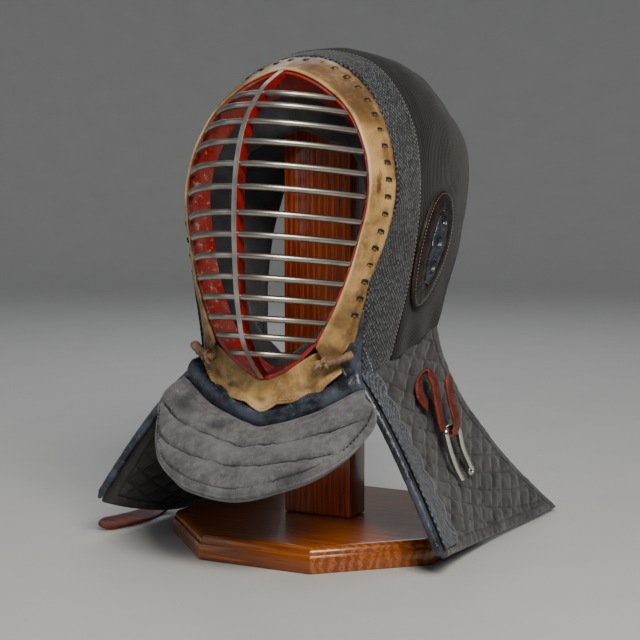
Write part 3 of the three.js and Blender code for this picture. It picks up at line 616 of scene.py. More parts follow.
def places(count, crowding):
    """Shares from 0 to 1, crowded towards both ends."""
    t = np.linspace(0, 1, count + 1)
    return (1 - crowding) * t + crowding * (1 - np.cos(math.pi * t)) / 2


HEAD_MIDDLE = np.array([0, 30, 250.0])


def spots_on(surface, u, v, looped=False, middle=HEAD_MIDDLE):
    """A grid of spots on a surface: points, outward normals, and lengths along it in mm."""
    uu, vv = np.meshgrid(u, v, indexing="ij")
    step = 0.002

    def at(a, b):
        return surface(a.ravel(), b.ravel()).reshape(*uu.shape, 3)

    point = at(uu, vv)
    du = at(np.minimum(uu + step, 1), vv) - at(np.maximum(uu - step, 0), vv)
    if looped:
        dv = at(uu, (vv + step) % 1) - at(uu, (vv - step) % 1)
    else:
        dv = at(uu, np.minimum(vv + step, 1)) - at(uu, np.maximum(vv - step, 0))
    out = np.cross(du, dv)
    out /= np.maximum(np.linalg.norm(out, axis=-1, keepdims=True), 1e-9)
    if np.sum(out * (point - middle)) < 0:
        out = -out
    along_u = np.zeros(uu.shape)
    along_u[1:] = np.cumsum(np.linalg.norm(np.diff(point, axis=0), axis=-1), axis=0)
    along_v = np.zeros(uu.shape)
    along_v[:, 1:] = np.cumsum(np.linalg.norm(np.diff(point, axis=1), axis=-1), axis=1)
    edge_u = np.minimum(along_u, along_u[-1:] - along_u)
    edge_v = np.minimum(along_v, along_v[:, -1:] - along_v)
    from_middle = along_v - along_v[:, len(v) // 2][:, None]
    return SimpleNamespace(
        u=uu, v=vv, point=point, out=out, su=along_u, sv=from_middle, eu=edge_u, ev=edge_v
    )


def sheet(name, cad_node, surface, wall, across, along, materials, looped=False,
          crowding=(0.4, 0.4), outer=None, inner=None, shade=None, shade_both=False,
          middle=HEAD_MIDDLE):
    """A closed soft or hard sheet: a grid laid on the surface and given a wall.

    wall, outer, inner and shade take the spots and give millimetres, or a tone from 0 to 1.
    The second material, if there is one, goes on the inner face.
    """
    u = places(across, crowding[0])
    v = places(along, 0 if looped else crowding[1])
    k = spots_on(surface, u, v, looped, middle)
    half = wall(k) / 2
    raised = half + (outer(k) if outer else 0)
    sunk = half + (inner(k) if inner else 0)
    layers = {1: k.point + k.out * raised[..., None], -1: k.point - k.out * sunk[..., None]}
    tone = shade(k) if shade else np.full(k.u.shape, 0.5)

    maker = bmesh.new()
    bmesh.ops.create_grid(maker, x_segments=across, y_segments=along, size=0.5)
    uv = maker.loops.layers.uv.new("UVMap")
    row = maker.verts.layers.int.new("row")
    column = maker.verts.layers.int.new("column")
    tint = maker.verts.layers.float.new("shade")
    for vert in maker.verts:
        vert[row] = round((vert.co.x + 0.5) * across)
        vert[column] = round((vert.co.y + 0.5) * along)
    for face in maker.faces:
        for loop in face.loops:
            spot = loop.vert[row], loop.vert[column]
            loop[uv].uv = (k.su[spot] * MM, k.sv[spot] * MM)
    if looped:
        for vert in maker.verts:
            angle = 2 * math.pi * vert[column] / along
            vert.co = (math.cos(angle), math.sin(angle), vert[row] / across)
        bmesh.ops.remove_doubles(maker, verts=maker.verts[:], dist=1e-6)
    made = bmesh.ops.extrude_face_region(maker, geom=maker.faces[:], use_keep_orig=True)
    back = {item for item in made["geom"] if isinstance(item, bmesh.types.BMVert)}
    for vert in maker.verts:
        spot = vert[row], vert[column]
        side = -1 if vert in back else 1
        vert.co = layers[side][spot] * MM
        vert[tint] = tone[spot] if side == 1 or shade_both else 0.5
    if len(materials) > 1:
        for face in maker.faces:
            face.material_index = int(all(vert in back for vert in face.verts))
    face_out(maker)
    return finish_piece(maker, name, cad_node, materials)


def line_frames(line, steps):
    """Points along line(t), and two directions square to it that never twist."""
    t = np.linspace(0, 1, steps + 1)
    point = line(t)
    forward = unit(np.gradient(point, axis=0))
    first = np.cross(forward[0], (0.0, 0.0, 1.0))
    if np.linalg.norm(first) < 0.1:
        first = np.cross(forward[0], (0.0, 1.0, 0.0))
    sides = []
    for ahead in forward:
        first = unit(first - ahead * (first @ ahead))
        sides.append(first)
    side = np.array(sides)
    return t, point, side, np.cross(forward, side)


def rod_into(maker, line, radius, steps, sides=12, flat=1.0):
    """Adds a closed round rod along line(t) to a bmesh. radius(t) is in millimetres."""
    t, point, side, other = line_frames(line, steps)
    size = np.array([radius(share) for share in t]) if callable(radius) else np.full(len(t), radius)
    ring = bmesh.ops.create_circle(maker, cap_ends=True, segments=sides, radius=1)["verts"]
    angles = [math.atan2(vert.co.y, vert.co.x) for vert in ring]

    def put(verts, k):
        for vert, angle in zip(verts, angles):
            turn = side[k] * math.cos(angle) + other[k] * math.sin(angle) * flat
            vert.co = Vector((point[k] + turn * size[k]) * MM)

    put(ring, 0)
    edges = [edge for edge in maker.edges if edge.verts[0] in ring and edge.verts[1] in ring]
    for k in range(1, len(t)):
        grown = bmesh.ops.extrude_edge_only(maker, edges=edges)["geom"]
        edges = [item for item in grown if isinstance(item, bmesh.types.BMEdge)]
        follow = {}
        for vert in ring:
            for edge in vert.link_edges:
                other_end = edge.other_vert(vert)
                if other_end in grown:
                    follow[vert] = other_end
        ring = [follow[vert] for vert in ring]
        put(ring, k)
    bmesh.ops.contextual_create(maker, geom=edges)


def rods(name, cad_node, lines, materials, steps=24, sides=12, flat=1.0):
    """One piece of round rods. lines holds pairs of line(t) and radius."""
    maker = bmesh.new()
    for line, radius in lines:
        part = bmesh.new()
        rod_into(part, line, radius, steps, sides, flat)
        face_out(part)
        mesh = bpy.data.meshes.new("part")
        part.to_mesh(mesh)
        part.free()
        maker.from_mesh(mesh)
        bpy.data.meshes.remove(mesh)
    return finish_piece(maker, name, cad_node, materials)


def stitches(name, rows, material, length=2.4, width=0.8, height=0.7):
    """Small stitches as one piece. Each row holds a point, the way along and the way out."""
    maker = bmesh.new()
    for point, along, out in rows:
        along = Vector(along).normalized()
        out = Vector(out)
        out = (out - along * out.dot(along)).normalized()
        turn = Matrix((along, out.cross(along), out)).transposed().to_4x4()
        size = Matrix.Diagonal((length / 2 * MM, width / 2 * MM, height / 2 * MM, 1))
        place = Matrix.Translation(Vector(point) * MM) @ turn @ size
        bmesh.ops.create_uvsphere(maker, u_segments=6, v_segments=5, radius=1, matrix=place)
    return finish_piece(maker, name, None, [material])


def seam_rows(surface, track, spacing, lift, middle=HEAD_MIDDLE):
    """Places for stitches along track(t), which gives (u, v) on a surface."""
    t = np.linspace(0, 1, 600)
    u, v = track(t)
    points = surface(u, v)
    length = np.concatenate([[0], np.cumsum(np.linalg.norm(np.diff(points, axis=0), axis=1))])
    count = max(2, int(length[-1] / spacing))
    shares = np.interp((np.arange(count) + 0.5) * length[-1] / count, length, t)
    rows = []
    for share in shares:
        near = np.array([share - 0.002, share, share + 0.002]).clip(0, 1)
        u, v = track(near)
        before, here, after = surface(u, v)
        du = surface(np.clip(u[1:2] + 0.004, 0, 1), v[1:2]) - surface(np.clip(u[1:2] - 0.004, 0, 1), v[1:2])
        dv = surface(u[1:2], np.clip(v[1:2] + 0.004, 0, 1)) - surface(u[1:2], np.clip(v[1:2] - 0.004, 0, 1))
        out = unit(np.cross(du[0], dv[0]))
        if out @ (here - middle) < 0:
            out = -out
        rows.append((here + out * lift, after - before, out))
    return rows


def straight(u, start, end):
    """A track at one u, from one v to another."""

    def track(t):
        return np.full(t.shape, u), start + (end - start) * t

    return track


def along_edge(surface, distance, start, end):
    """A track that keeps a distance in mm inside the surface's u = 1 edge."""
    v = np.linspace(0, 1, 81)
    u = np.linspace(0, 1, 41)
    uu, vv = np.meshgrid(u, v, indexing="ij")
    point = surface(uu.ravel(), vv.ravel()).reshape(41, 81, 3)
    length = np.linalg.norm(np.diff(point, axis=0), axis=-1).sum(axis=0)
    share = 1 - distance / length

    def track(t):
        place = start + (end - start) * t
        return np.interp(place, v, share), place

    return track


# Stand.
CORNER = math.pi / 8
# The board's side from below, as inset and height: a plain face, then the groove under its top edge.
BASE_SIDE = [(1.2, 0), (0.3, 0.4), (0, 1.3), (0, 11.6), (0.3, 12.2), (1.3, 12.5), (1.5, 12.9), (1.2, 13.2)]
TOP_EDGE_INSET = 1.5
TOP_EDGE_RADIUS = 5.5


def stand_base():
    # An octagonal board: a bead groove round its side, then a rounded top edge.
    maker = bmesh.new()
    profile = list(BASE_SIDE)
    for k in range(7):
        turn = k * math.pi / 12
        inset = TOP_EDGE_INSET + TOP_EDGE_RADIUS * (1 - math.cos(turn))
        profile.append((inset, BASE_THICKNESS - TOP_EDGE_RADIUS * (1 - math.sin(turn))))
    corner = BASE_ACROSS_FLATS / 2 / math.cos(CORNER)
    bmesh.ops.create_circle(maker, cap_ends=True, segments=8, radius=corner * MM)
    bmesh.ops.rotate(maker, verts=maker.verts[:], cent=(0, 0, 0), matrix=Matrix.Rotation(CORNER, 3, "Z"))
    ring = maker.verts[:]
    edges = maker.edges[:]

    def put(verts, inset, height):
        for vert in verts:
            flat = Vector((vert.co.x, vert.co.y, 0)).normalized()
            vert.co = flat * ((BASE_ACROSS_FLATS / 2 - inset) / math.cos(CORNER) * MM)
            vert.co.z = height * MM

    put(ring, *profile[0])
    for inset, height in profile[1:]:
        grown = bmesh.ops.extrude_edge_only(maker, edges=edges)["geom"]
        edges = [item for item in grown if isinstance(item, bmesh.types.BMEdge)]
        put([item for item in grown if isinstance(item, bmesh.types.BMVert)], inset, height)
    bmesh.ops.contextual_create(maker, geom=edges)
    face_out(maker)
    corners = [
        edge for edge in maker.edges
        if abs(edge.verts[0].co.z - edge.verts[1].co.z) > 1e-6
        and edge.verts[0].co.xy.normalized().dot(edge.verts[1].co.xy.normalized()) > 0.9999
    ]
    bmesh.ops.bevel(
        maker, geom=corners, offset=0.7 * MM, segments=2, profile=0.5, affect="EDGES", material=-1
    )
    piece = finish_piece(maker, "stand_base_oak", "stand_base", [OAK_FLAT])
    sharpen(piece)


def sharpen(piece, angle=32):
    """Keeps flat faces flat, with smooth shading only over gentle bends."""
    limit = math.radians(angle)
    maker = bmesh.new()
    maker.from_mesh(piece.data)
    for edge in maker.edges:
        edge.smooth = edge.calc_face_angle(0) < limit
    maker.to_mesh(piece.data)
    maker.free()


def stand_post():
    low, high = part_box("stand_post")
    maker = bmesh.new()
    bmesh.ops.create_cube(maker, size=1)
    bmesh.ops.scale(maker, vec=Vector(high) - Vector(low), verts=maker.verts[:])
    bmesh.ops.translate(maker, vec=(Vector(high) + Vector(low)) / 2, verts=maker.verts[:])
    bmesh.ops.bevel(
        maker, geom=maker.edges[:], offset=1.6 * MM, segments=3, profile=0.5, affect="EDGES", material=-1
    )
    piece = finish_piece(maker, "stand_post_oak", "stand_post", [OAK_UPRIGHT])
    sharpen(piece)


# Head surface: stations from the front edge to the back, each from the crown to one cheek.
# Columns: sideways, back and up, as shares of the head's half width, depth and crown height.
HEAD_SIZES = np.array([HEAD_HALF_WIDTH, HEAD_DEPTH, CROWN_HEIGHT])
STATIONS = [
    [(0, 0.203, 0.971), (0.485, 0.189, 0.932), (0.8, 0.144, 0.81), (0.915, 0.104, 0.703),
     (0.81, 0.05, 0.564), (0.73, 0.063, 0.373)],
    [(0, 0.338, 0.985), (0.5, 0.315, 0.954), (0.835, 0.275, 0.86), (0.955, 0.248, 0.735),
     (0.91, 0.234, 0.577), (0.745, 0.198, 0.378)],
    [(0, 0.43, 0.991), (0.53, 0.435, 0.96), (0.895, 0.455, 0.858), (0.97, 0.455, 0.732),
     (0.925, 0.438, 0.583), (0.765, 0.36, 0.402)],
    [(0, 0.67, 0.966), (0.51, 0.67, 0.932), (0.85, 0.652, 0.835), (0.94, 0.624, 0.733),
     (0.905, 0.571, 0.593), (0.78, 0.46, 0.421)],
    [(0, 0.987, 0.838), (0.42, 0.933, 0.846), (0.76, 0.794, 0.816), (0.855, 0.737, 0.715),
     (0.87, 0.63, 0.577), (0.795, 0.54, 0.437)],
]
STATIONS = [both_sides(half) * HEAD_SIZES + (0, FACE_CENTRE_Y, 0) for half in STATIONS]
# Along the head surface, as shares: where the band ends, half its gap to the hood, where it starts.
BAND_SHARE = 0.25
SEAM_GAP = 0.0012
BAND_START = 0.012
# The rough lengths of the surface from front to back and from cheek to cheek, for placing the ears.
HEAD_BACK = 0.81 * HEAD_DEPTH
HEAD_ARCH = 1.58 * CROWN_HEIGHT


def head_surface(u, v):
    across = np.stack([smooth(station, v) for station in STATIONS])
    return smooth(across, u)


def band_surface(u, v):
    # Low on the cheeks the front edge is tucked in behind the gussets.
    place = head_surface(BAND_START + u * (BAND_SHARE - BAND_START - SEAM_GAP), v)
    low = np.clip((np.abs(2 * v - 1) - 0.62) / 0.2, 0, 1) * (1 - u) ** 3 * 6.5
    place[:, 0] -= 0.6 * low * np.sign(place[:, 0])
    place[:, 1] -= 0.8 * low
    return place


def hood_surface(u, v):
    return head_surface(BAND_SHARE + SEAM_GAP + u * (1 - BAND_SHARE - SEAM_GAP), v)


def hood():
    # Thick quilted cloth with gentle dents and long soft folds near its lower corners.
    def wall(k):
        return HOOD_THICKNESS * soft_edge(np.minimum(k.eu, k.ev), 3.2, 0.45)

    def outer(k):
        dents = 0.9 * waves(k.point, 90, 3) + 0.35 * waves(k.point, 30, 4)
        low = np.clip((270 - k.point[..., 2]) / 110, 0, 1)
        folds = low * 1.5 * waves(k.point * (1, 1, 0.35), 34, 5)
        seam = ((HOOD_THICKNESS - BAND_THICKNESS) / 2 + 0.8) * bump_at(k.su, 9)
        return (dents + folds - 0.6) * soft_edge(np.minimum(k.eu, k.ev), 14, 0.0) - seam

    sheet("hood_quilted_cloth", "hood", hood_surface, wall, 90, 260,
          [HOOD_CLOTH, LINING], crowding=(0.35, 0.1), outer=outer,
          inner=lambda k: 0.5 * waves(k.point, 40, 6))


def front_band():
    def wall(k):
        return BAND_THICKNESS * soft_edge(np.minimum(k.eu, k.ev), 2, 0.5)

    def outer(k):
        return (0.5 * waves(k.point, 50, 8) + 0.2 * waves(k.point, 14, 9)) * soft_edge(k.eu, 8, 0.0)

    sheet("front_band_weave", "woven_front_band", band_surface, wall, 36, 240,
          [BAND_WEAVE, LINING], outer=outer)
    rows = seam_rows(band_surface, straight(0.965, 0.01, 0.99), 3.0, BAND_THICKNESS / 2 + 0.2)
    stitches("band_seam_stitches", rows, GREY_THREAD, 2.5, 0.55, 0.5)


# The face opening and the grille. Tables below hold shares of these sizes.
FACE_SIZES = np.array([OPENING_HALF_WIDTH, OPENING_HEIGHT, OPENING_HEIGHT])
# The opening's right half from the crown to the chin. Columns: sideways, up.
OPENING_ROWS = [
    (0, 0.507), (0.32, 0.475), (0.588, 0.417), (0.74, 0.368), (0.848, 0.312), (0.934, 0.246),
    (0.985, 0.174), (1, 0.11), (0.964, 0.021), (0.917, -0.047), (0.868, -0.113), (0.808, -0.179),
    (0.735, -0.242), (0.652, -0.306), (0.552, -0.364), (0.404, -0.418), (0.2, -0.468), (0, -0.493),
]
OPENING_LOOP = np.array(OPENING_ROWS + [(-x, y) for x, y in OPENING_ROWS[-2:0:-1]]) * FACE_SIZES[:2]
# Bars from the crown down. Columns: height, half width, and depth as a share of the grille's.
BAR_ROWS = [
    (0.417, 0.588, 0.51), (0.371, 0.732, 0.71), (0.312, 0.848, 0.86), (0.246, 0.934, 0.955),
    (0.174, 0.98, 1), (0.102, 0.983, 1), (0.021, 0.959, 0.98), (-0.047, 0.917, 0.94),
    (-0.113, 0.868, 0.89), (-0.179, 0.808, 0.84), (-0.242, 0.735, 0.77), (-0.306, 0.652, 0.69),
    (-0.364, 0.552, 0.58), (-0.418, 0.404, 0.41),
]
# How far behind the opening's plane the bars' ends are set.
BAR_SET = 4
# The blade's front line from the crown to the chin. Columns: up, forward.
BLADE_ROWS = np.array([
    (0.512, 0.0), (0.47, 0.24), (0.417, 0.51), (0.312, 0.86), (0.174, 1), (0.021, 0.98),
    (-0.113, 0.89), (-0.242, 0.77), (-0.364, 0.58), (-0.418, 0.41), (-0.46, 0.22), (-0.497, 0.0),
]) * (OPENING_HEIGHT, GRILLE_DEPTH)


def opening(t, out, forward):
    """Points round the opening's edge, moved outwards and forwards."""
    here = smooth(OPENING_LOOP, t % 1, True)
    before = smooth(OPENING_LOOP, (t + 0.997) % 1, True)
    after = smooth(OPENING_LOOP, (t + 0.003) % 1, True)
    step = unit(after - before)
    x = here[:, 0] - out * step[:, 1]
    y = here[:, 1] + out * step[:, 0]
    return from_face(np.stack([x, y, np.broadcast_to(forward, x.shape)], axis=-1))


FACE_MIDDLE = np.array([0, -80, 250.0])
# The blade is a flat sheet: the side away from this place, far to its left, is its outer one.
BLADE_SEEN_FROM = np.array([-500, 0, 250.0])
# How much thicker than its solid each bar is drawn, as a radius.
BAR_SWELL = 0.25
BLADE_FORWARD = 3.2
BLADE_BROW = 3
STRIP_OUT = STRIP_THICKNESS / 2 - 0.6
STRIP_FORWARD = 0.9
STRIP_LEAN = 7.5
STRIP_CROWN_LEAN = 4.5


def near_crown(v, width):
    """1 at the crown of a closed loop, falling away to both sides."""
    return bump_at(np.minimum(v, 1 - v), width)


def round_edges(piece, width, segments):
    bevel = piece.modifiers.new("rounded_edges", "BEVEL")
    bevel.width = width * MM
    bevel.segments = segments
    bevel.limit_method = "ANGLE"


def bar_line(height, width, depth):
    """A bar's line: level, bent forwards in the middle and set in behind the lip at its ends."""
    half = width * OPENING_HALF_WIDTH + 0.8

    def bar(t):
        x = -half + 2 * half * t
        bulge = 1 - np.abs(x / half) ** 2.1
        forward = -BAR_SET + (depth * GRILLE_DEPTH + BAR_SET) * bulge
        return from_face(np.stack([x, np.full(x.shape, height * OPENING_HEIGHT), forward], axis=-1))

    return bar


def grille_bars():
    lines = [(bar_line(*row), BAR_DIAMETER / 2 + BAR_SWELL) for row in BAR_ROWS]
    rods("grille_bars", "face_grille", lines, [STEEL], steps=40, sides=18)


def grille_blade():
    # The centre blade: red sides, and a bare front edge that bulges at the brow.
    def surface(u, v):
        row = smooth(BLADE_ROWS, v)
        spread = np.where(np.minimum(v, 1 - v) < 0.04, 0.6, 1)
        front = row[:, 1] + BLADE_FORWARD + BLADE_BROW * bump_at(v - 0.12, 0.1)
        forward = front - u * BLADE_DEPTH * spread
        return from_face(np.stack([np.zeros(u.shape), row[:, 0], forward], axis=-1))

    piece = sheet("grille_blade", "face_grille", surface,
                  lambda k: np.full(k.u.shape, float(BLADE_THICKNESS)), 8, 90, [BLADE_RED],
                  crowding=(0.8, 0.1), middle=BLADE_SEEN_FROM)
    piece.data.materials.append(BLADE_STEEL)
    for polygon in piece.data.polygons:
        if abs(polygon.normal.x) < 0.5 and polygon.normal.y < 0.2:
            polygon.material_index = 1
    round_edges(piece, 0.8, 3)


def frame_strip():
    # Behind its front lip the strip leans in, most of all at the crown.
    def surface(u, v):
        lean = STRIP_LEAN + STRIP_CROWN_LEAN * near_crown(v, 0.075)
        return opening(v, STRIP_OUT - lean * u, STRIP_FORWARD - (STRIP_DEPTH + 1.1) * u)

    piece = sheet("frame_strip", "face_grille", surface,
                  lambda k: STRIP_THICKNESS + 1.2 * bump_at(k.su, 1.5), 14, 260, [RED], looped=True,
                  middle=FACE_MIDDLE)
    round_edges(piece, 0.5, 2)


CUSHION_OUT = 2
CUSHION_DEPTH = 24
CUSHION_START = STRIP_DEPTH + 1.4
# How far the ring bulges inwards all round, and how much more over the forehead.
CUSHION_BULGE = 9
FOREHEAD_BULGE = 21


def face_cushion():
    # A padded ring of navy cotton, pulled into soft lobes by its stitches.
    def surface(u, v):
        # Over the forehead the ring is a deeper pad.
        bulge = CUSHION_BULGE + FOREHEAD_BULGE * near_crown(v, 0.1)
        inwards = bulge * np.sin(math.pi * u) + 5
        return opening(v, CUSHION_OUT - inwards, -CUSHION_START - CUSHION_DEPTH * u)

    def wall(k):
        lobes = 1 - 0.12 * np.abs(np.sin(k.v * math.pi * 22)) ** 6
        round_off = 0.35 + 0.65 * np.sin(math.pi * (0.1 + 0.8 * k.u))
        return (CUSHION_THICKNESS - 0.6) * round_off * lobes

    sheet("face_cushion_pad", "face_cushion", surface, wall, 24, 300, [LINING],
          looped=True, inner=lambda k: 0.5 * waves(k.point, 18, 11) * np.sin(math.pi * k.u),
          middle=FACE_MIDDLE)


# Rawhide rim and chin. Columns, from the middle to the right: sideways, up, forward.
RIM_OUTER = both_sides([
    (0, 0.578, -0.121), (0.33, 0.562, -0.121), (0.62, 0.505, -0.117), (0.87, 0.41, -0.112),
    (1.04, 0.29, -0.103), (1.13, 0.175, -0.094), (1.145, 0.085, -0.085), (1.095, -0.03, -0.074),
    (1.0, -0.137, -0.067), (0.915, -0.245, -0.071), (0.868, -0.31, -0.076), (0.842, -0.362, -0.076),
]) * FACE_SIZES
RIM_INNER = both_sides([
    (0, 0.51, 0), (0.32, 0.478, 0), (0.588, 0.42, 0), (0.74, 0.371, 0), (0.848, 0.315, 0),
    (0.934, 0.249, 0), (0.985, 0.177, 0), (1, 0.11, 0), (0.964, 0.021, 0), (0.868, -0.113, 0),
    (0.735, -0.242, 0), (0.53, -0.385, 0),
]) * FACE_SIZES
RIM_FRONT = RAWHIDE_THICKNESS / 2 + 0.8
RIM_TAB = 13
# The rim starts outside the red lip of the frame strip.
RIM_START = 0.085


def rim_surface(u, v):
    inner = smooth(RIM_INNER, v)
    outer = smooth(RIM_OUTER, v)
    end = np.maximum(0, np.abs(2 * v - 1) - 0.9) / 0.1
    tab = RIM_TAB * end * end * np.sin(math.pi * np.minimum(1, u * 1.15)).clip(0) ** 0.8
    swell = 1.5 * np.sin(math.pi * u)
    share = RIM_START + (1 - RIM_START) * u
    place = inner + (outer - inner) * share[:, None]
    place[:, 1] -= tab
    place[:, 2] = RIM_FRONT + (outer[:, 2] - RIM_FRONT) * u + swell
    return from_face(place)


LACING_U = 0.75
LACING_STEP = 12.4
# A dark scratch on the right of the rim, this far round from the crown.
SCRATCH_ALONG = 128


def face_rim():
    # Stiff rawhide: uneven between its lace holes, rolled at the inner edge.
    def outer(k):
        around = soft_edge(np.minimum(k.eu, k.ev), 6, 0.0)
        pulled = np.clip(k.u - 0.55, 0, 1) * 0.9 * np.sin(2 * math.pi * k.sv / LACING_STEP)
        return 0.45 * waves(k.point, 26, 21) * around + pulled * 0.5

    def shade(k):
        # The inner edge is painted paler: a painted highlight.
        pale = 0.46 + 0.5 * bump_at(k.su, 2.2) + 0.14 * waves(k.point, 40, 22)
        near_holes = 0.3 * bump_at(k.u - LACING_U, 0.1) * (0.5 + 0.5 * waves(k.point, 12, 23))
        # Painted shade: darker towards the bottom, where the rim faces down.
        low = 0.46 * np.clip((215 - k.point[..., 2]) / 60, 0, 1) * (0.6 + 0.4 * waves(k.point, 15, 24))
        # Darker along the outer edge; darker on the left side too, which is painted shade away from the key
        # light.
        edge = 0.26 * bump_at(k.su - k.su[-1:], 2.5) + 0.1 * np.clip(-k.point[..., 0] / 60, 0, 1)
        along = k.sv - SCRATCH_ALONG - 0.35 * (k.su - 12)
        scratch = 2.2 * bump_at(along, 7) * bump_at(k.su - 12 + 0.1 * along, 2.2)
        # Painted shade on the top, which faces the key light.
        top_shade = 0.3 * np.clip((k.point[..., 2] - 312) / 25, 0, 1)
        scratch = scratch * (0.6 + 0.5 * waves(k.point, 3, 25))
        return np.clip(pale - near_holes - low - edge - scratch - top_shade, 0, 1)

    sheet("face_rim_rawhide", "face_rim", rim_surface,
          lambda k: RAWHIDE_THICKNESS * soft_edge(np.minimum(k.eu, k.ev), 1.2, 0.45), 30, 300, [RAWHIDE],
          crowding=(0.5, 0.2), outer=outer, inner=lambda k: -0.2 * waves(k.point, 26, 21), shade=shade)

    # Lacing: each hole is a dark slot across the rim, a painted shadow that stands for the hole, with a short
    # thong beside it.
    rows = seam_rows(rim_surface, straight(LACING_U, 0.018, 0.982), LACING_STEP, RAWHIDE_THICKNESS / 2 - 0.25)
    turned = []
    thongs = []
    ties = []
    for point, along, out in rows:
        along = unit(along)
        cross = np.cross(out, along)
        turned.append((point + out * 0.3, cross, out))
        thongs.append((point + along * 1.7 + out * 0.35, cross + 0.2 * along, out))
        ties.append((point + along * 1.1 - cross * 2.4 + out * 0.35, along, out))
        ties.append((point + along * 1.0 + cross * 2.5 + out * 0.3, along + 0.3 * cross, out))
    stitches("rim_lace_hole_shadows", turned, DARK_THREAD, 7.0, 2.6, 1.3)
    stitches("rim_lace_thongs", thongs, RAWHIDE, 3.8, 1.8, 1.9)
    stitches("rim_lace_ties", ties, DARK_THONG, 3.6, 1.2, 1.0)


CHIN_TOP = both_sides([
    (0, -0.502, -0.002), (0.2, -0.478, -0.002), (0.4, -0.432, -0.003), (0.55, -0.4, -0.014),
    (0.67, -0.39, -0.044),
]) * FACE_SIZES
CHIN_LOW = both_sides([
    (0, -0.6, -0.019), (0.11, -0.587, -0.013), (0.22, -0.569, -0.017), (0.33, -0.553, -0.018),
    (0.475, -0.545, -0.038), (0.585, -0.523, -0.041), (0.67, -0.498, -0.045), (0.77, -0.46, -0.07),
]) * FACE_SIZES
# The lower edge hangs in a lobe on each side and a small one in the middle.
SIDE_LOBE = 4
MIDDLE_LOBE = 1.6
CHIN_LIFT = 4.6
CHIN_HOLLOW = 2.5


def chin_surface(u, v):
    top = smooth(CHIN_TOP, v)
    low = smooth(CHIN_LOW, v)
    side = np.abs(2 * v - 1)
    low[:, 1] -= SIDE_LOBE * np.sin(math.pi * np.clip((side - 0.22) / 0.6, 0, 1))
    low[:, 1] -= MIDDLE_LOBE * np.cos(math.pi * np.clip(side / 0.44, 0, 0.5))
    place = top + (low - top) * u[:, None]
    place[:, 2] += CHIN_LIFT * u * u - CHIN_HOLLOW * np.sin(math.pi * u)
    return from_face(place)


def chin_rawhide():
    def outer(k):
        return 0.4 * waves(k.point, 20, 31) * soft_edge(np.minimum(k.eu, k.ev), 6, 0.0)

    def shade(k):
        fold = 0.5 * bump_at(k.u - 0.62, 0.13) * (0.75 + 0.35 * waves(k.point, 9, 32))
        ring = bump_at(k.u - 0.7, 0.08) * np.clip(np.sin(3 * k.v * math.pi - 0.8), 0, 1)
        return np.clip(0.52 + 0.12 * waves(k.point, 16, 33) - fold * (0.4 + ring), 0, 1)

    sheet("chin_rawhide_hide", "chin_rawhide", chin_surface,
          lambda k: RAWHIDE_THICKNESS * soft_edge(np.minimum(k.eu, k.ev), 1.2, 0.45), 24, 120, [RAWHIDE],
          outer=outer, shade=shade)
    track = along_edge(chin_surface, 2.4, 0.03, 0.97)
    rows = seam_rows(chin_surface, track, 2.8, RAWHIDE_THICKNESS / 2 + 0.35)
    stitches("chin_edge_stitches", rows, PALE_THREAD, 2.0, 0.7, 0.6)


# Chin roll and throat flap. Columns, from the middle to the right: sideways, up, forward.
ROLL_TOP = both_sides([
    (0, -0.585, -0.05), (0.22, -0.556, -0.046), (0.42, -0.52, -0.052), (0.6, -0.49, -0.078),
    (0.78, -0.44, -0.105), (0.86, -0.4, -0.12),
]) * FACE_SIZES
THROAT_SIZES = np.array([THROAT_HALF_WIDTH, OPENING_HEIGHT, OPENING_HEIGHT])
THROAT_TOP = both_sides([
    (0, -0.659, -0.004), (0.13, -0.648, -0.008), (0.25, -0.635, -0.012), (0.48, -0.601, -0.018),
    (0.61, -0.572, -0.03), (0.71, -0.547, -0.042), (0.81, -0.523, -0.054), (0.86, -0.52, -0.066),
]) * THROAT_SIZES
THROAT_LOW = both_sides([
    (0, -0.885, 0.2), (0.2, -0.875, 0.215), (0.42, -0.85, 0.215), (0.7, -0.8, 0.142),
    (0.88, -0.735, 0.065), (0.98, -0.665, 0.0), (1.0, -0.62, -0.03), (0.96, -0.575, -0.055),
]) * THROAT_SIZES
# Each quilting line: its share of the drop in the middle, and where on the flap it ends.
QUILT_LINES = ((0.3, 0.8, 0.72), (0.58, 0.6, 0.88))
QUILT_DIP = 3.5
THROAT_HEM = 6.5
THROAT_SEAM = 0.12


def roll_surface(u, v):
    top = smooth(ROLL_TOP, v)
    low = smooth(THROAT_TOP, v)
    place = top + (low - top) * (u * 0.93)[:, None]
    place[:, 2] += 3.5 * np.sin(math.pi * u)
    return from_face(place)


def chin_roll():
    # A stuffed leather roll: full in the middle of its width, creased where it bends.
    def wall(k):
        full = 0.4 + 0.6 * np.sin(math.pi * (0.06 + 0.88 * k.u))
        return ROLL_THICKNESS * full * soft_edge(k.ev, 4, 0.4)

    def outer(k):
        creases = 0.5 * waves(k.point * (1, 0.3, 0.3), 16, 41) + 0.25 * waves(k.point, 8, 42)
        rise = np.clip((k.u - 0.3) / 0.24, 0, 1)
        tucked = 2.2 * (1 - rise * rise * (3 - 2 * rise))
        return (0.9 + creases) * np.sin(math.pi * k.u) - tucked

    sheet("chin_roll_leather", "chin_roll", roll_surface, wall, 28, 200, [NAVY],
          outer=outer)


def throat_surface(u, v):
    top = smooth(THROAT_TOP, v)
    low = smooth(THROAT_LOW, v)
    place = top + (low - top) * (0.025 + 0.975 * u)[:, None]
    place[:, 2] += 5 * np.sin(math.pi * u)
    return from_face(place)


def quilt_row(line, v):
    """A quilting line runs flatter than the flap's edges, so its ends lie lower on the flap."""
    middle, reach, drop = line
    return middle + (drop - middle) * (np.abs(2 * v - 1) / reach) ** 2.4


def quilt_line(k, line):
    """How far each spot is from a quilting line, in shares of the flap's drop."""
    return k.u - quilt_row(line, k.v)


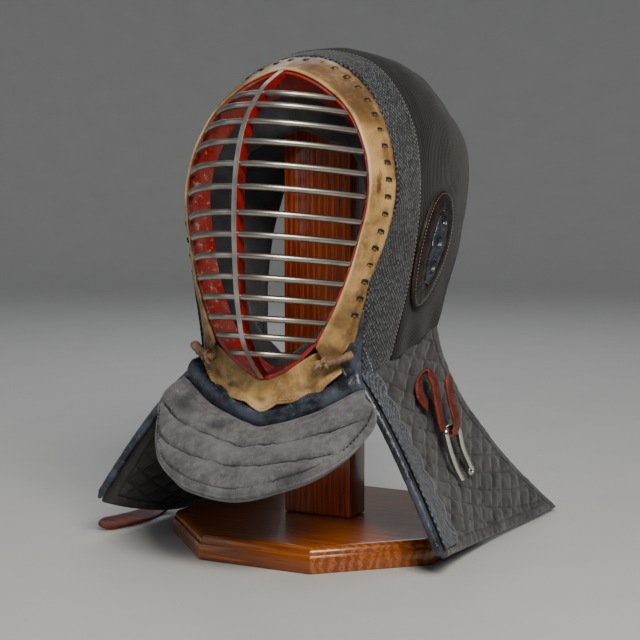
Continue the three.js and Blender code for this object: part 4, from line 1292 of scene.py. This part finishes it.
def quilt_fade(k, line):
    """A quilting line's depth, from 1 to 0 where it ends."""
    return np.clip((line[1] - np.abs(2 * k.v - 1)) / 0.1, 0, 1)


def throat_flap():
    # Padded cotton in three channels. The line near the lower edge holds its binding.
    def wall(k):
        edge = np.minimum(k.eu, k.ev)
        full = THROAT_THICKNESS * soft_edge(edge, 7, 0.55)
        for line in QUILT_LINES:
            full = full - QUILT_DIP * bump_at(quilt_line(k, line), 0.03) * quilt_fade(k, line)
        full = full - 1.1 * bump_at(k.su - k.su[-1:] + THROAT_HEM, 1.3) * soft_edge(k.ev, 20, 0.0)
        return full

    def outer(k):
        puckers = 0.5 * waves(k.point, 15, 51) + 0.3 * waves(k.point, 7, 52)
        near = sum(bump_at(quilt_line(k, line), 0.1) for line in QUILT_LINES)
        relief = puckers * (0.5 + 0.8 * near) + 0.7 * waves(k.point, 45, 53)
        # The seam under the roll is sewn down flat, in a shallow groove.
        relief = relief * (1 - 0.9 * bump_at(k.u - THROAT_SEAM, 0.05))
        return relief * soft_edge(k.eu, 8, 0.0) - 0.8 * bump_at(k.u - THROAT_SEAM, 0.025)

    def shade(k):
        tone = 0.5 + 0.16 * waves(k.point, 24, 54)
        for line in QUILT_LINES:
            tone = tone - 0.55 * bump_at(quilt_line(k, line), 0.012) * quilt_fade(k, line)
            # Painted highlight: the channel just below each quilting line is painted paler.
            tone = tone + 0.16 * bump_at(quilt_line(k, line) - 0.07, 0.05)
        tone = tone - 0.35 * bump_at(k.su - k.su[-1:] + THROAT_HEM, 0.7) * soft_edge(k.ev, 20, 0.0)
        return np.clip(tone, 0, 1)

    sheet("throat_flap_cotton", "throat_flap", throat_surface, wall, 110, 240, [FELT],
          crowding=(0.2, 0.3), outer=outer, shade=shade)
    for number, line in enumerate(QUILT_LINES):
        def track(t, line=line):
            v = 0.5 + 0.95 * line[1] * (t - 0.5)
            return quilt_row(line, v), v

        rows = seam_rows(throat_surface, track, 3.4, (THROAT_THICKNESS - QUILT_DIP) / 2 + 0.1)
        stitches(f"throat_quilt_stitches_{number + 1}", rows, DARK_THREAD, 2.3, 0.8, 0.7)
    rows = seam_rows(throat_surface, straight(THROAT_SEAM, 0.06, 0.94), 3.4, THROAT_THICKNESS / 2 - 0.4)
    stitches("throat_seam_stitches", rows, PALE_THREAD, 2.4, 0.9, 0.9)
    track = along_edge(throat_surface, THROAT_HEM, 0.08, 0.92)
    rows = seam_rows(throat_surface, track, 3.6, THROAT_THICKNESS / 2 - 0.7)
    stitches("throat_edge_stitches", rows, DARK_THREAD, 2.6, 0.9, 0.9)


# Side flaps: the lower hem and the neck line, each from the front edge to the back.
# Columns: sideways and up as shares of the flap's reach, and between them back, as one of its length.
HEM_RIGHT = [
    (0.938, -0.315, 0.104), (0.89, -0.135, 0.069), (0.862, 0.096, 0.036), (0.855, 0.288, 0.018),
    (0.869, 0.465, 0.014), (0.883, 0.669, 0.014),
]
HEM_LEFT = [
    (1.055, -0.346, 0.207), (1.055, -0.173, 0.11), (1.014, 0, 0.042), (0.986, 0.192, 0.022),
    (0.938, 0.423, 0.014), (0.883, 0.669, 0.014),
]
NECK_ROWS = [
    (0.424, -0.3, 0.978), (0.455, -0.23, 0.988), (0.486, -0.146, 0.988), (0.5, -0.008, 1.047),
    (0.514, 0.085, 1.098), (0.524, 0.154, 1.14),
]
FLAP_SIZES = np.array([FLAP_REACH, FLAP_LENGTH, FLAP_REACH])
DIAMOND = 15.5
FLAP_FRONT = 0.03
HEM_WIDTH = 10
# How far the flap's top edge reaches up under the hood.
FLAP_TUCK = 3.5


def flap_surface(hem, mirror):
    def surface(u, v):
        top = smooth(NECK_ROWS, v)
        low = smooth(hem, v)
        out = u ** (0.78 + 0.75 * v)
        place = np.empty(top.shape)
        place[:, :2] = top[:, :2] + (low[:, :2] - top[:, :2]) * out[:, None]
        place[:, 2] = top[:, 2] + (low[:, 2] - top[:, 2]) * u
        return place * FLAP_SIZES * (mirror, 1, 1)

    return surface


FLAPS = {"right": flap_surface(HEM_RIGHT, 1), "left": flap_surface(HEM_LEFT, -1)}
MIRRORS = {"right": 1, "left": -1}
FLAP_MIDDLE = np.array([0, 40, 60.0])


def diamonds(k):
    """Distance in mm from the nearest line of the diamond quilting."""
    first = (k.su * 0.86 + k.sv * 0.5) / DIAMOND
    second = (k.su * 0.86 - k.sv * 0.5) / DIAMOND
    one = np.abs(first - np.round(first)) * DIAMOND
    two = np.abs(second - np.round(second)) * DIAMOND
    return np.minimum(one, two)


def side_flap(side):
    surface = FLAPS[side]
    seed = 60 if side == "right" else 70

    def flap(u, v):
        # The top edge is sewn in under the hood's edge.
        place = surface(u, FLAP_FRONT + (1 - FLAP_FRONT) * v)
        place[:, 2] += FLAP_TUCK * (1 - u) ** 12
        return place

    def hem_edge(k):
        return np.minimum(k.su[-1:] - k.su, k.ev)

    def wall(k):
        return FLAP_THICKNESS * soft_edge(np.minimum(k.eu, k.ev), 3, 0.4)

    def puffs(k, height):
        puff = (1 - bump_at(diamonds(k), 2.3)) * height
        bound = bump_at(hem_edge(k) - HEM_WIDTH, 1.1) * 0.9
        inside = np.clip((hem_edge(k) - HEM_WIDTH) / 3, 0, 1)
        return puff * inside - bound + (1 - inside) * height * 0.7

    def outer(k):
        edge = soft_edge(np.minimum(k.eu, k.ev), 3, 0.0)
        crumple = 0.3 * waves(k.point, 8, seed) + 0.7 * waves(k.point, 40, seed + 1)
        return (puffs(k, 1.4) - 1.0 + crumple) * edge

    def inner(k):
        edge = soft_edge(np.minimum(k.eu, k.ev), 3, 0.0)
        return (puffs(k, 1.1) - 1.0 + 0.3 * waves(k.point, 12, seed + 2)) * edge

    def shade(k):
        inside = np.clip((hem_edge(k) - HEM_WIDTH) / 2, 0, 1)
        line = 0.42 * bump_at(diamonds(k), 0.9) * inside + 0.4 * bump_at(hem_edge(k) - HEM_WIDTH, 0.9)
        return np.clip(0.5 + 0.15 * waves(k.point, 22, seed + 3) - line, 0, 1)

    sheet(f"side_flap_{side}_cloth", f"side_flap_{side}", flap, wall, 130, 180,
          [FLAP_CLOTH], crowding=(0.1, 0.1), outer=outer, inner=inner, shade=shade, shade_both=True,
          middle=FLAP_MIDDLE)


def flap_piping(side):
    surface = FLAPS[side]

    def line(t):
        share = 0.015 + 0.965 * t
        here = surface(share, np.zeros(t.shape))
        behind = surface(share, np.full(t.shape, 0.04))
        return here + 0.2 * unit(here - behind)

    def radius(t):
        wrinkle = 0.07 * math.sin(61 * t) + 0.05 * math.sin(113 * t + 1)
        end = min(1, 0.4 + 14 * min(t, 1 - t))
        return (PIPING_DIAMETER / 2 - 0.15 + wrinkle) * end

    rods(f"flap_piping_{side}_leather", f"flap_piping_{side}", [(line, radius)], [NAVY],
         steps=120, sides=16)


SCALLOPS = 7
BAND_LIFT = (FLAP_THICKNESS + 1.4) / 2 + 0.3


def on_flap(side, lift):
    """A surface that lies that far above the outer face of a flap."""
    surface = FLAPS[side]

    def raised(u, v):
        du = surface(np.minimum(u + 0.01, 1), v) - surface(np.maximum(u - 0.01, 0), v)
        dv = surface(u, np.minimum(v + 0.01, 1)) - surface(u, np.maximum(v - 0.01, 0))
        out = unit(np.cross(dv, du))
        out *= np.where(out[:, :1] * MIRRORS[side] < 0, -1, 1)
        return surface(u, v) + out * lift

    return raised


def edge_band(side):
    # Woven cloth sewn on along the front edge. A pale cord binds its scallops.
    raised = on_flap(side, BAND_LIFT)
    width = EDGE_BAND_WIDTH / FLAP_LENGTH

    def back_edge(v):
        scallop = 0.66 + 0.34 * np.sqrt(np.abs(np.sin(math.pi * SCALLOPS * v)))
        return (1.35 - 0.3 * v) * width * scallop

    def surface(u, v):
        return raised(0.02 + 0.94 * v, 0.022 + (0.033 + back_edge(v)) * u)

    sheet(f"edge_band_{side}_weave", f"edge_band_{side}", surface,
          lambda k: 1.4 * soft_edge(np.minimum(k.eu, k.ev), 0.9, 0.4), 20, 210, [EDGE_WEAVE],
          outer=lambda k: 0.2 * waves(k.point, 12, 81) * soft_edge(k.eu, 3, 0.0), middle=FLAP_MIDDLE)

    def cord(t):
        v = 0.004 + 0.992 * t
        return raised(0.02 + 0.94 * v, 0.055 + back_edge(v))

    rods(f"edge_cord_{side}", None, [(cord, 0.8)], [CORD_THREAD], steps=280, sides=8)


# Each row, from the top down, is a place on the front edge and one on the back edge.
GUSSET_ROWS = [
    [(0.445, -0.285, 1.29), (0.482, -0.276, 1.3)],
    [(0.41, -0.297, 1.17), (0.484, -0.262, 1.18)],
    [(0.39, -0.308, 1.08), (0.48, -0.252, 1.09)],
    [(0.385, -0.314, 1.01), (0.492, -0.23, 1.01)],
    [(0.41, -0.315, 0.95), (0.51, -0.226, 0.93)],
]


def cheek_gusset(side):
    # Navy leather in the corner of rim, band and flap, pale-stitched along its wavy edge.
    fronts = [row[0] for row in GUSSET_ROWS]
    backs = [row[1] for row in GUSSET_ROWS]

    def surface(u, v):
        place = smooth(fronts, v) * (1 - u[:, None]) + smooth(backs, v) * u[:, None]
        return place * FLAP_SIZES * (MIRRORS[side], 1, 1)

    sheet(f"cheek_gusset_{side}_leather", f"cheek_gusset_{side}", surface,
          lambda k: 2.4 * soft_edge(np.minimum(k.eu, k.ev), 1.4, 0.45), 16, 60, [NAVY],
          outer=lambda k: 0.35 * waves(k.point, 11, 91) * soft_edge(k.eu, 2, 0.0))
    rows = seam_rows(surface, straight(0.9, 0.1, 0.98), 2.8, 1.35)
    stitches(f"gusset_stitches_{side}", rows, PALE_THREAD, 1.9, 0.7, 0.6)


# Ears.
def ear_place(side, tall, wide, height):
    """A place on the hood above the ear, measured up and back from the oval's middle."""
    mirror = MIRRORS[side]
    u = 0.385 + (wide + tall * EAR_LEAN) / HEAD_BACK
    v = 0.5 + mirror * (EAR_DROP - (tall - wide * EAR_LEAN) / HEAD_ARCH)
    du = head_surface(u + 0.01, v) - head_surface(u - 0.01, v)
    dv = head_surface(u, v + 0.01) - head_surface(u, v - 0.01)
    out = unit(np.cross(dv, du))
    out *= np.where(out[:, :1] * mirror < 0, -1, 1)
    return head_surface(u, v) + out * (HOOD_THICKNESS / 2 + height)


# The slot in the oval and the inner leather behind it, as shares of the oval's height and width.
SLOT_TALL = 0.66
SLOT_WIDE = 0.46
SLOT_BACK = 0.06
INNER_TALL = 0.65
INNER_WIDE = 0.44
# The pierced holes: their places up the oval, and their radius in millimetres.
EAR_HOLES = (-0.19, 0.02, 0.22)
HOLE_RADIUS = 4.3
HOLE_LIP = 5.0


def inner_place(u, v):
    """A place on the inner leather, measured up and back from its own middle."""
    share = 2 * v - 1
    half = INNER_WIDE / 2 * EAR_WIDTH * np.sqrt(np.maximum(0.1, 1 - share * share))
    return INNER_TALL / 2 * EAR_HEIGHT * share, (2 * u - 1) * half


def hole_distance(k):
    tall, wide = inner_place(k.u, k.v)
    return np.minimum.reduce([np.hypot(tall - share * EAR_HEIGHT, wide) for share in EAR_HOLES])


def ear(side):
    def rim(u, v):
        angle = 2 * math.pi * v
        oval_tall = EAR_HEIGHT * np.cos(angle) / 2
        oval_wide = EAR_WIDTH * np.sin(angle) / 2
        tall = SLOT_TALL * oval_tall
        wide = SLOT_WIDE * oval_wide + SLOT_BACK * EAR_WIDTH
        tall = tall + (oval_tall - tall) * u
        wide = wide + (oval_wide - wide) * u
        return ear_place(side, tall, wide, 0.7 + EAR_THICKNESS / 2)

    def swell(k):
        return (0.9 * np.sin(math.pi * k.u) + 0.25 * waves(k.point, 9, 101)) - 0.2

    outward = np.array([0, 40, 250.0])
    sheet(f"ear_leather_{side}_oval", f"ear_leather_{side}", rim,
          lambda k: EAR_THICKNESS * soft_edge(k.eu, 1.4, 0.4), 18, 120, [EAR_BROWN], looped=True,
          outer=swell, middle=outward)
    rows = seam_rows(rim, straight(0.9, 0, 0.999), 2.6, EAR_THICKNESS / 2 + 0.35, middle=outward)
    stitches(f"ear_stitches_{side}", rows, GREY_THREAD, 1.8, 0.5, 0.5)

    def binding(t):
        angle = 2 * math.pi * t
        return ear_place(side, EAR_HEIGHT * np.cos(angle) / 2, EAR_WIDTH * np.sin(angle) / 2, 1.3)

    rods(f"ear_binding_{side}", None, [(binding, 0.9)], [DARK_THONG], steps=120, sides=8)

    def inner(u, v):
        tall, wide = inner_place(u, v)
        return ear_place(side, tall, wide + SLOT_BACK * EAR_WIDTH, 2.3)

    def pierced(k):
        return np.clip((HOLE_RADIUS - hole_distance(k)) / 0.7, 0, 1)

    def dish(k):
        lip = 0.7 * bump_at(hole_distance(k) - HOLE_LIP, 0.9)
        return lip - 2.6 * pierced(k) + 0.25 * waves(k.point, 8, 104)

    sheet(f"ear_inner_{side}_leather", f"ear_inner_{side}", inner,
          lambda k: np.full(k.u.shape, 1.6), 50, 140, [EAR_NAVY], outer=dish,
          inner=lambda k: 2.4 * pierced(k), middle=outward)


# Laces that tie the rim's tabs to the chin roll, each with a knot at its front.
# Columns: sideways, up, forward.
LACE_ROWS = [(0.56, -0.44, 0.01), (0.68, -0.432, 0.0), (0.78, -0.42, -0.02), (0.88, -0.4, -0.042)]


def lace(side):
    mirror = MIRRORS[side]
    rows = from_face(np.array(LACE_ROWS) * FACE_SIZES * (mirror, 1, 1))

    def line(t):
        return smooth(rows, t)

    def radius(t):
        return 3.1 + 0.9 * t + 0.3 * math.sin(23 * t) + 0.2 * math.sin(51 * t + 2)

    lines = [(line, radius)]
    knot = rows[0] * 0.25 + rows[1] * 0.75
    along = unit(rows[1] - rows[0])
    up = np.array([0, 0.1, 1.0])
    out = unit(np.cross(along, up) * -mirror)
    if out[1] > 0:
        out = -out

    def wrap(shift, lean, size=3.6):
        def turn(t):
            angle = 2 * math.pi * t[:, None] * 0.97
            ring = np.cos(angle) * out + np.sin(angle) * (up + lean * along)
            return knot + shift * along + ring * size

        return turn

    lines += [(wrap(-1.6, 0.3), 1.3), (wrap(1.4, -0.35), 1.3)]

    def tail(t):
        start = knot - 2 * along + out * 3.2
        end = knot - 7.5 * along + out * 4.2 - up * 4.5
        return smooth([start, (start + end) / 2 + out * 1.2, end], t)

    lines.append((tail, lambda t: 1.5 * (1 - 0.35 * t)))
    rods(f"lace_{side}_hide", f"lace_{side}", lines, [LACE_HIDE], steps=28, sides=12, flat=0.8)


# Straps and the hook.
def over_flap(side, row):
    """A place above the outer face of a flap: back share, up share and height."""
    surface = FLAPS[side]
    back, up, height = row
    target = np.array([back * FLAP_LENGTH, up * FLAP_REACH])
    best = np.array([0.5, 0.5])
    span = 0.5
    for _ in range(4):
        offsets = np.linspace(-span, span, 25)
        u, v = np.meshgrid(best[0] + offsets, best[1] + offsets)
        u, v = u.ravel().clip(0.01, 0.99), v.ravel().clip(0.01, 0.99)
        distance = np.linalg.norm(surface(u, v)[:, 1:] - target, axis=1)
        nearest = int(np.argmin(distance))
        best = np.array([u[nearest], v[nearest]])
        span /= 8
    return on_flap(side, height)(best[:1], best[1:])[0]


def centripetal(points, count=400):
    """A smooth line through points that lie unevenly, as shares of its length."""
    points = np.asarray(points, float)
    knots = np.concatenate([[0], np.cumsum(np.sqrt(np.linalg.norm(np.diff(points, axis=0), axis=1)))])
    first = 2 * points[0] - points[1]
    last = 2 * points[-1] - points[-2]
    pads = np.concatenate([[first], points, [last]])
    knots = np.concatenate([[2 * knots[0] - knots[1]], knots, [2 * knots[-1] - knots[-2]]])
    t = np.linspace(knots[1], knots[-2], count)
    k = np.clip(np.searchsorted(knots, t, side="right") - 1, 1, len(points) - 1)
    p = [pads[k + i] for i in (-1, 0, 1, 2)]
    x = [knots[k + i] for i in (-1, 0, 1, 2)]

    def mix(a, b, start, end):
        share = ((t - start) / (end - start))[:, None]
        return a * (1 - share) + b * share

    a1, a2, a3 = (mix(p[i], p[i + 1], x[i], x[i + 1]) for i in range(3))
    b1, b2 = mix(a1, a2, x[0], x[2]), mix(a2, a3, x[1], x[3])
    line = mix(b1, b2, x[1], x[2])
    length = np.concatenate([[0], np.cumsum(np.linalg.norm(np.diff(line, axis=0), axis=1))])
    length /= length[-1]

    def at(share):
        return np.stack([np.interp(share, length, line[:, n]) for n in range(3)], axis=-1)

    return at


def ribbon(name, cad_node, rows, ways, steps, material, seed):
    line = centripetal(rows)

    def surface(u, v):
        ahead = unit(line(np.minimum(v + 0.004, 1)) - line(np.maximum(v - 0.004, 0)))
        across = smooth(ways, v)
        across = unit(across - ahead * np.sum(across * ahead, axis=-1, keepdims=True))
        rounded = np.sqrt(np.maximum(0.03, 1 - np.clip((v - 0.95) / 0.05, 0, 1) ** 2))
        return line(v) + across * ((u - 0.5) * rounded * STRAP_WIDTH)[:, None]

    middle = np.mean(rows, axis=0) * (0.3, 1, 1)
    return sheet(name, cad_node, surface,
                 lambda k: STRAP_THICKNESS * soft_edge(np.minimum(k.eu, k.ev), 1.1, 0.45), 12, steps,
                 [material], outer=lambda k: 0.12 * waves(k.point, 9, seed), middle=middle)


# The strap's line and the hook's. Columns: back and up as shares of the flap's length and reach,
# and millimetres above the flap.
STRAP_ROWS = [
    (-0.003, 0.75, 5.2), (-0.036, 0.815, 6), (-0.03, 0.885, 8.5), (-0.01, 0.92, 13),
    (-0.002, 0.86, 15.5), (0, 0.74, 13.5), (0.004, 0.61, 11.5), (0.012, 0.572, 15.8),
    (0.022, 0.61, 20.2), (0.034, 0.75, 21), (0.046, 0.88, 22),
]
HOOK_ROWS = [
    (0.035, 0.35, 7.5), (0.01, 0.43, 9), (-0.02, 0.53, 13), (-0.028, 0.595, 15.8),
    (-0.015, 0.608, 15.9), (0.05, 0.608, 15.9), (0.06, 0.595, 15.8), (0.078, 0.5, 12),
    (0.115, 0.385, 9),
]


# How much thicker than its solid the hook's wire is drawn, as a radius, and the ring at its end.
WIRE_SWELL = 0.8
EYE_RADIUS = 2.4
EYE_WIRE = 1.3


def right_strap():
    rows = [over_flap("right", row) for row in STRAP_ROWS]
    ribbon("strap_right_leather", "strap_right", rows, [(-0.12, 1, 0)] * 2, 160,
           STRAP_BROWN, 111)
    hook = centripetal([over_flap("right", row) for row in HOOK_ROWS])

    def radius(t):
        flare = 0.5 * math.exp(-(((1 - t) / 0.03) ** 2))
        return HOOK_WIRE / 2 + WIRE_SWELL + flare

    def eye(t):
        # A small ring bent from the wire's own end.
        turn = 2 * math.pi * 0.98 * t[:, None]
        ring = np.cos(turn) * np.array([0.25, 0.97, 0]) + np.sin(turn) * np.array([0, 0, 1.0])
        return hook(np.ones(1)) + np.array([0, 0, -2.2]) + EYE_RADIUS * ring

    lines = [(hook, radius), (eye, EYE_WIRE)]
    rods("strap_hook_wire", "strap_hook", lines, [WIRE], steps=140, sides=14)


def left_strap():
    tip = 1.15 * FLAP_REACH
    rows = [
        over_flap("left", (0.02, 0.85, 6)),
        over_flap("left", (0.06, 0.6, 6)),
        over_flap("left", (0.1, 0.35, 6.5)),
        over_flap("left", (0.12, 0.18, 9)),
        np.array([-tip * 0.95, 0.04 * FLAP_LENGTH, 5.5]),
        np.array([-tip * 0.935, -0.14 * FLAP_LENGTH, 5.2]),
        np.array([-tip, -0.265 * FLAP_LENGTH, 4.6]),
    ]
    # The strap's width runs along the flap at first, and on the floor nearly flat across it.
    hanging = (0.1, 1, 0)
    lying = (-0.9, 0.15, 0.5)
    ways = [hanging, hanging, hanging, (-0.2, 0.9, 0.2), (-0.8, 0.4, 0.3), lying, lying]
    ribbon("strap_left_leather", "strap_left", rows, ways, 140, STRAP_BROWN, 112)


def studio():
    # A pale floor that bends up into a plain backdrop, and large soft lights.
    maker = bmesh.new()
    bmesh.ops.create_grid(maker, x_segments=80, y_segments=80, size=6)
    for vert in maker.verts:
        vert.co.z = 0.3 * max(0, vert.co.xy.length - 2.4) ** 2
    mesh = bpy.data.meshes.new("floor")
    maker.to_mesh(mesh)
    maker.free()
    mesh.polygons.foreach_set("use_smooth", [True] * len(mesh.polygons))
    floor = bpy.data.objects.new("floor", mesh)
    bpy.context.collection.objects.link(floor)
    material, tree, shader = new_material("pale_matt_floor", Roughness=0.6)
    where, _ = places_of(tree)
    clouds = noise(tree, where, 70, 5, 0.6)
    paint(tree, shader, blend(tree, clouds, "#b9bbb8", "#c6c8c5"))
    mesh.materials.append(material)

    def lamp(name, place, target, size, power, tone="#ffffff"):
        data = bpy.data.lights.new(name, "AREA")
        data.shape = "RECTANGLE"
        data.size, data.size_y = size
        data.energy = power
        data.color = colour(tone)[:3]
        light = bpy.data.objects.new(name, data)
        light.location = place
        light.rotation_euler = (Vector(target) - Vector(place)).to_track_quat("-Z", "Y").to_euler()
        bpy.context.collection.objects.link(light)

    middle = (0, -0.02, 0.2)
    lamp("key", (0.95, -0.95, 1.3), middle, (0.7, 0.7), 34, "#fff6ec")
    lamp("fill", (-1.3, -1.0, 0.7), middle, (1.2, 1.2), 3, "#eef3ff")
    lamp("rim", (-0.6, 1.2, 1.2), middle, (1.0, 0.8), 5, "#f2f6ff")
    world = bpy.data.worlds.new("studio_air")
    world.use_nodes = True
    background = world.node_tree.nodes["Background"]
    background.inputs["Color"].default_value = colour("#c9cdd2")
    background.inputs["Strength"].default_value = 0.4
    bpy.context.scene.world = world


stand_base()
stand_post()
hood()
front_band()
grille_bars()
grille_blade()
frame_strip()
face_cushion()
face_rim()
chin_rawhide()
chin_roll()
throat_flap()
for side in ("right", "left"):
    side_flap(side)
    flap_piping(side)
    edge_band(side)
    cheek_gusset(side)
    ear(side)
    lace(side)
right_strap()
left_strap()
studio()
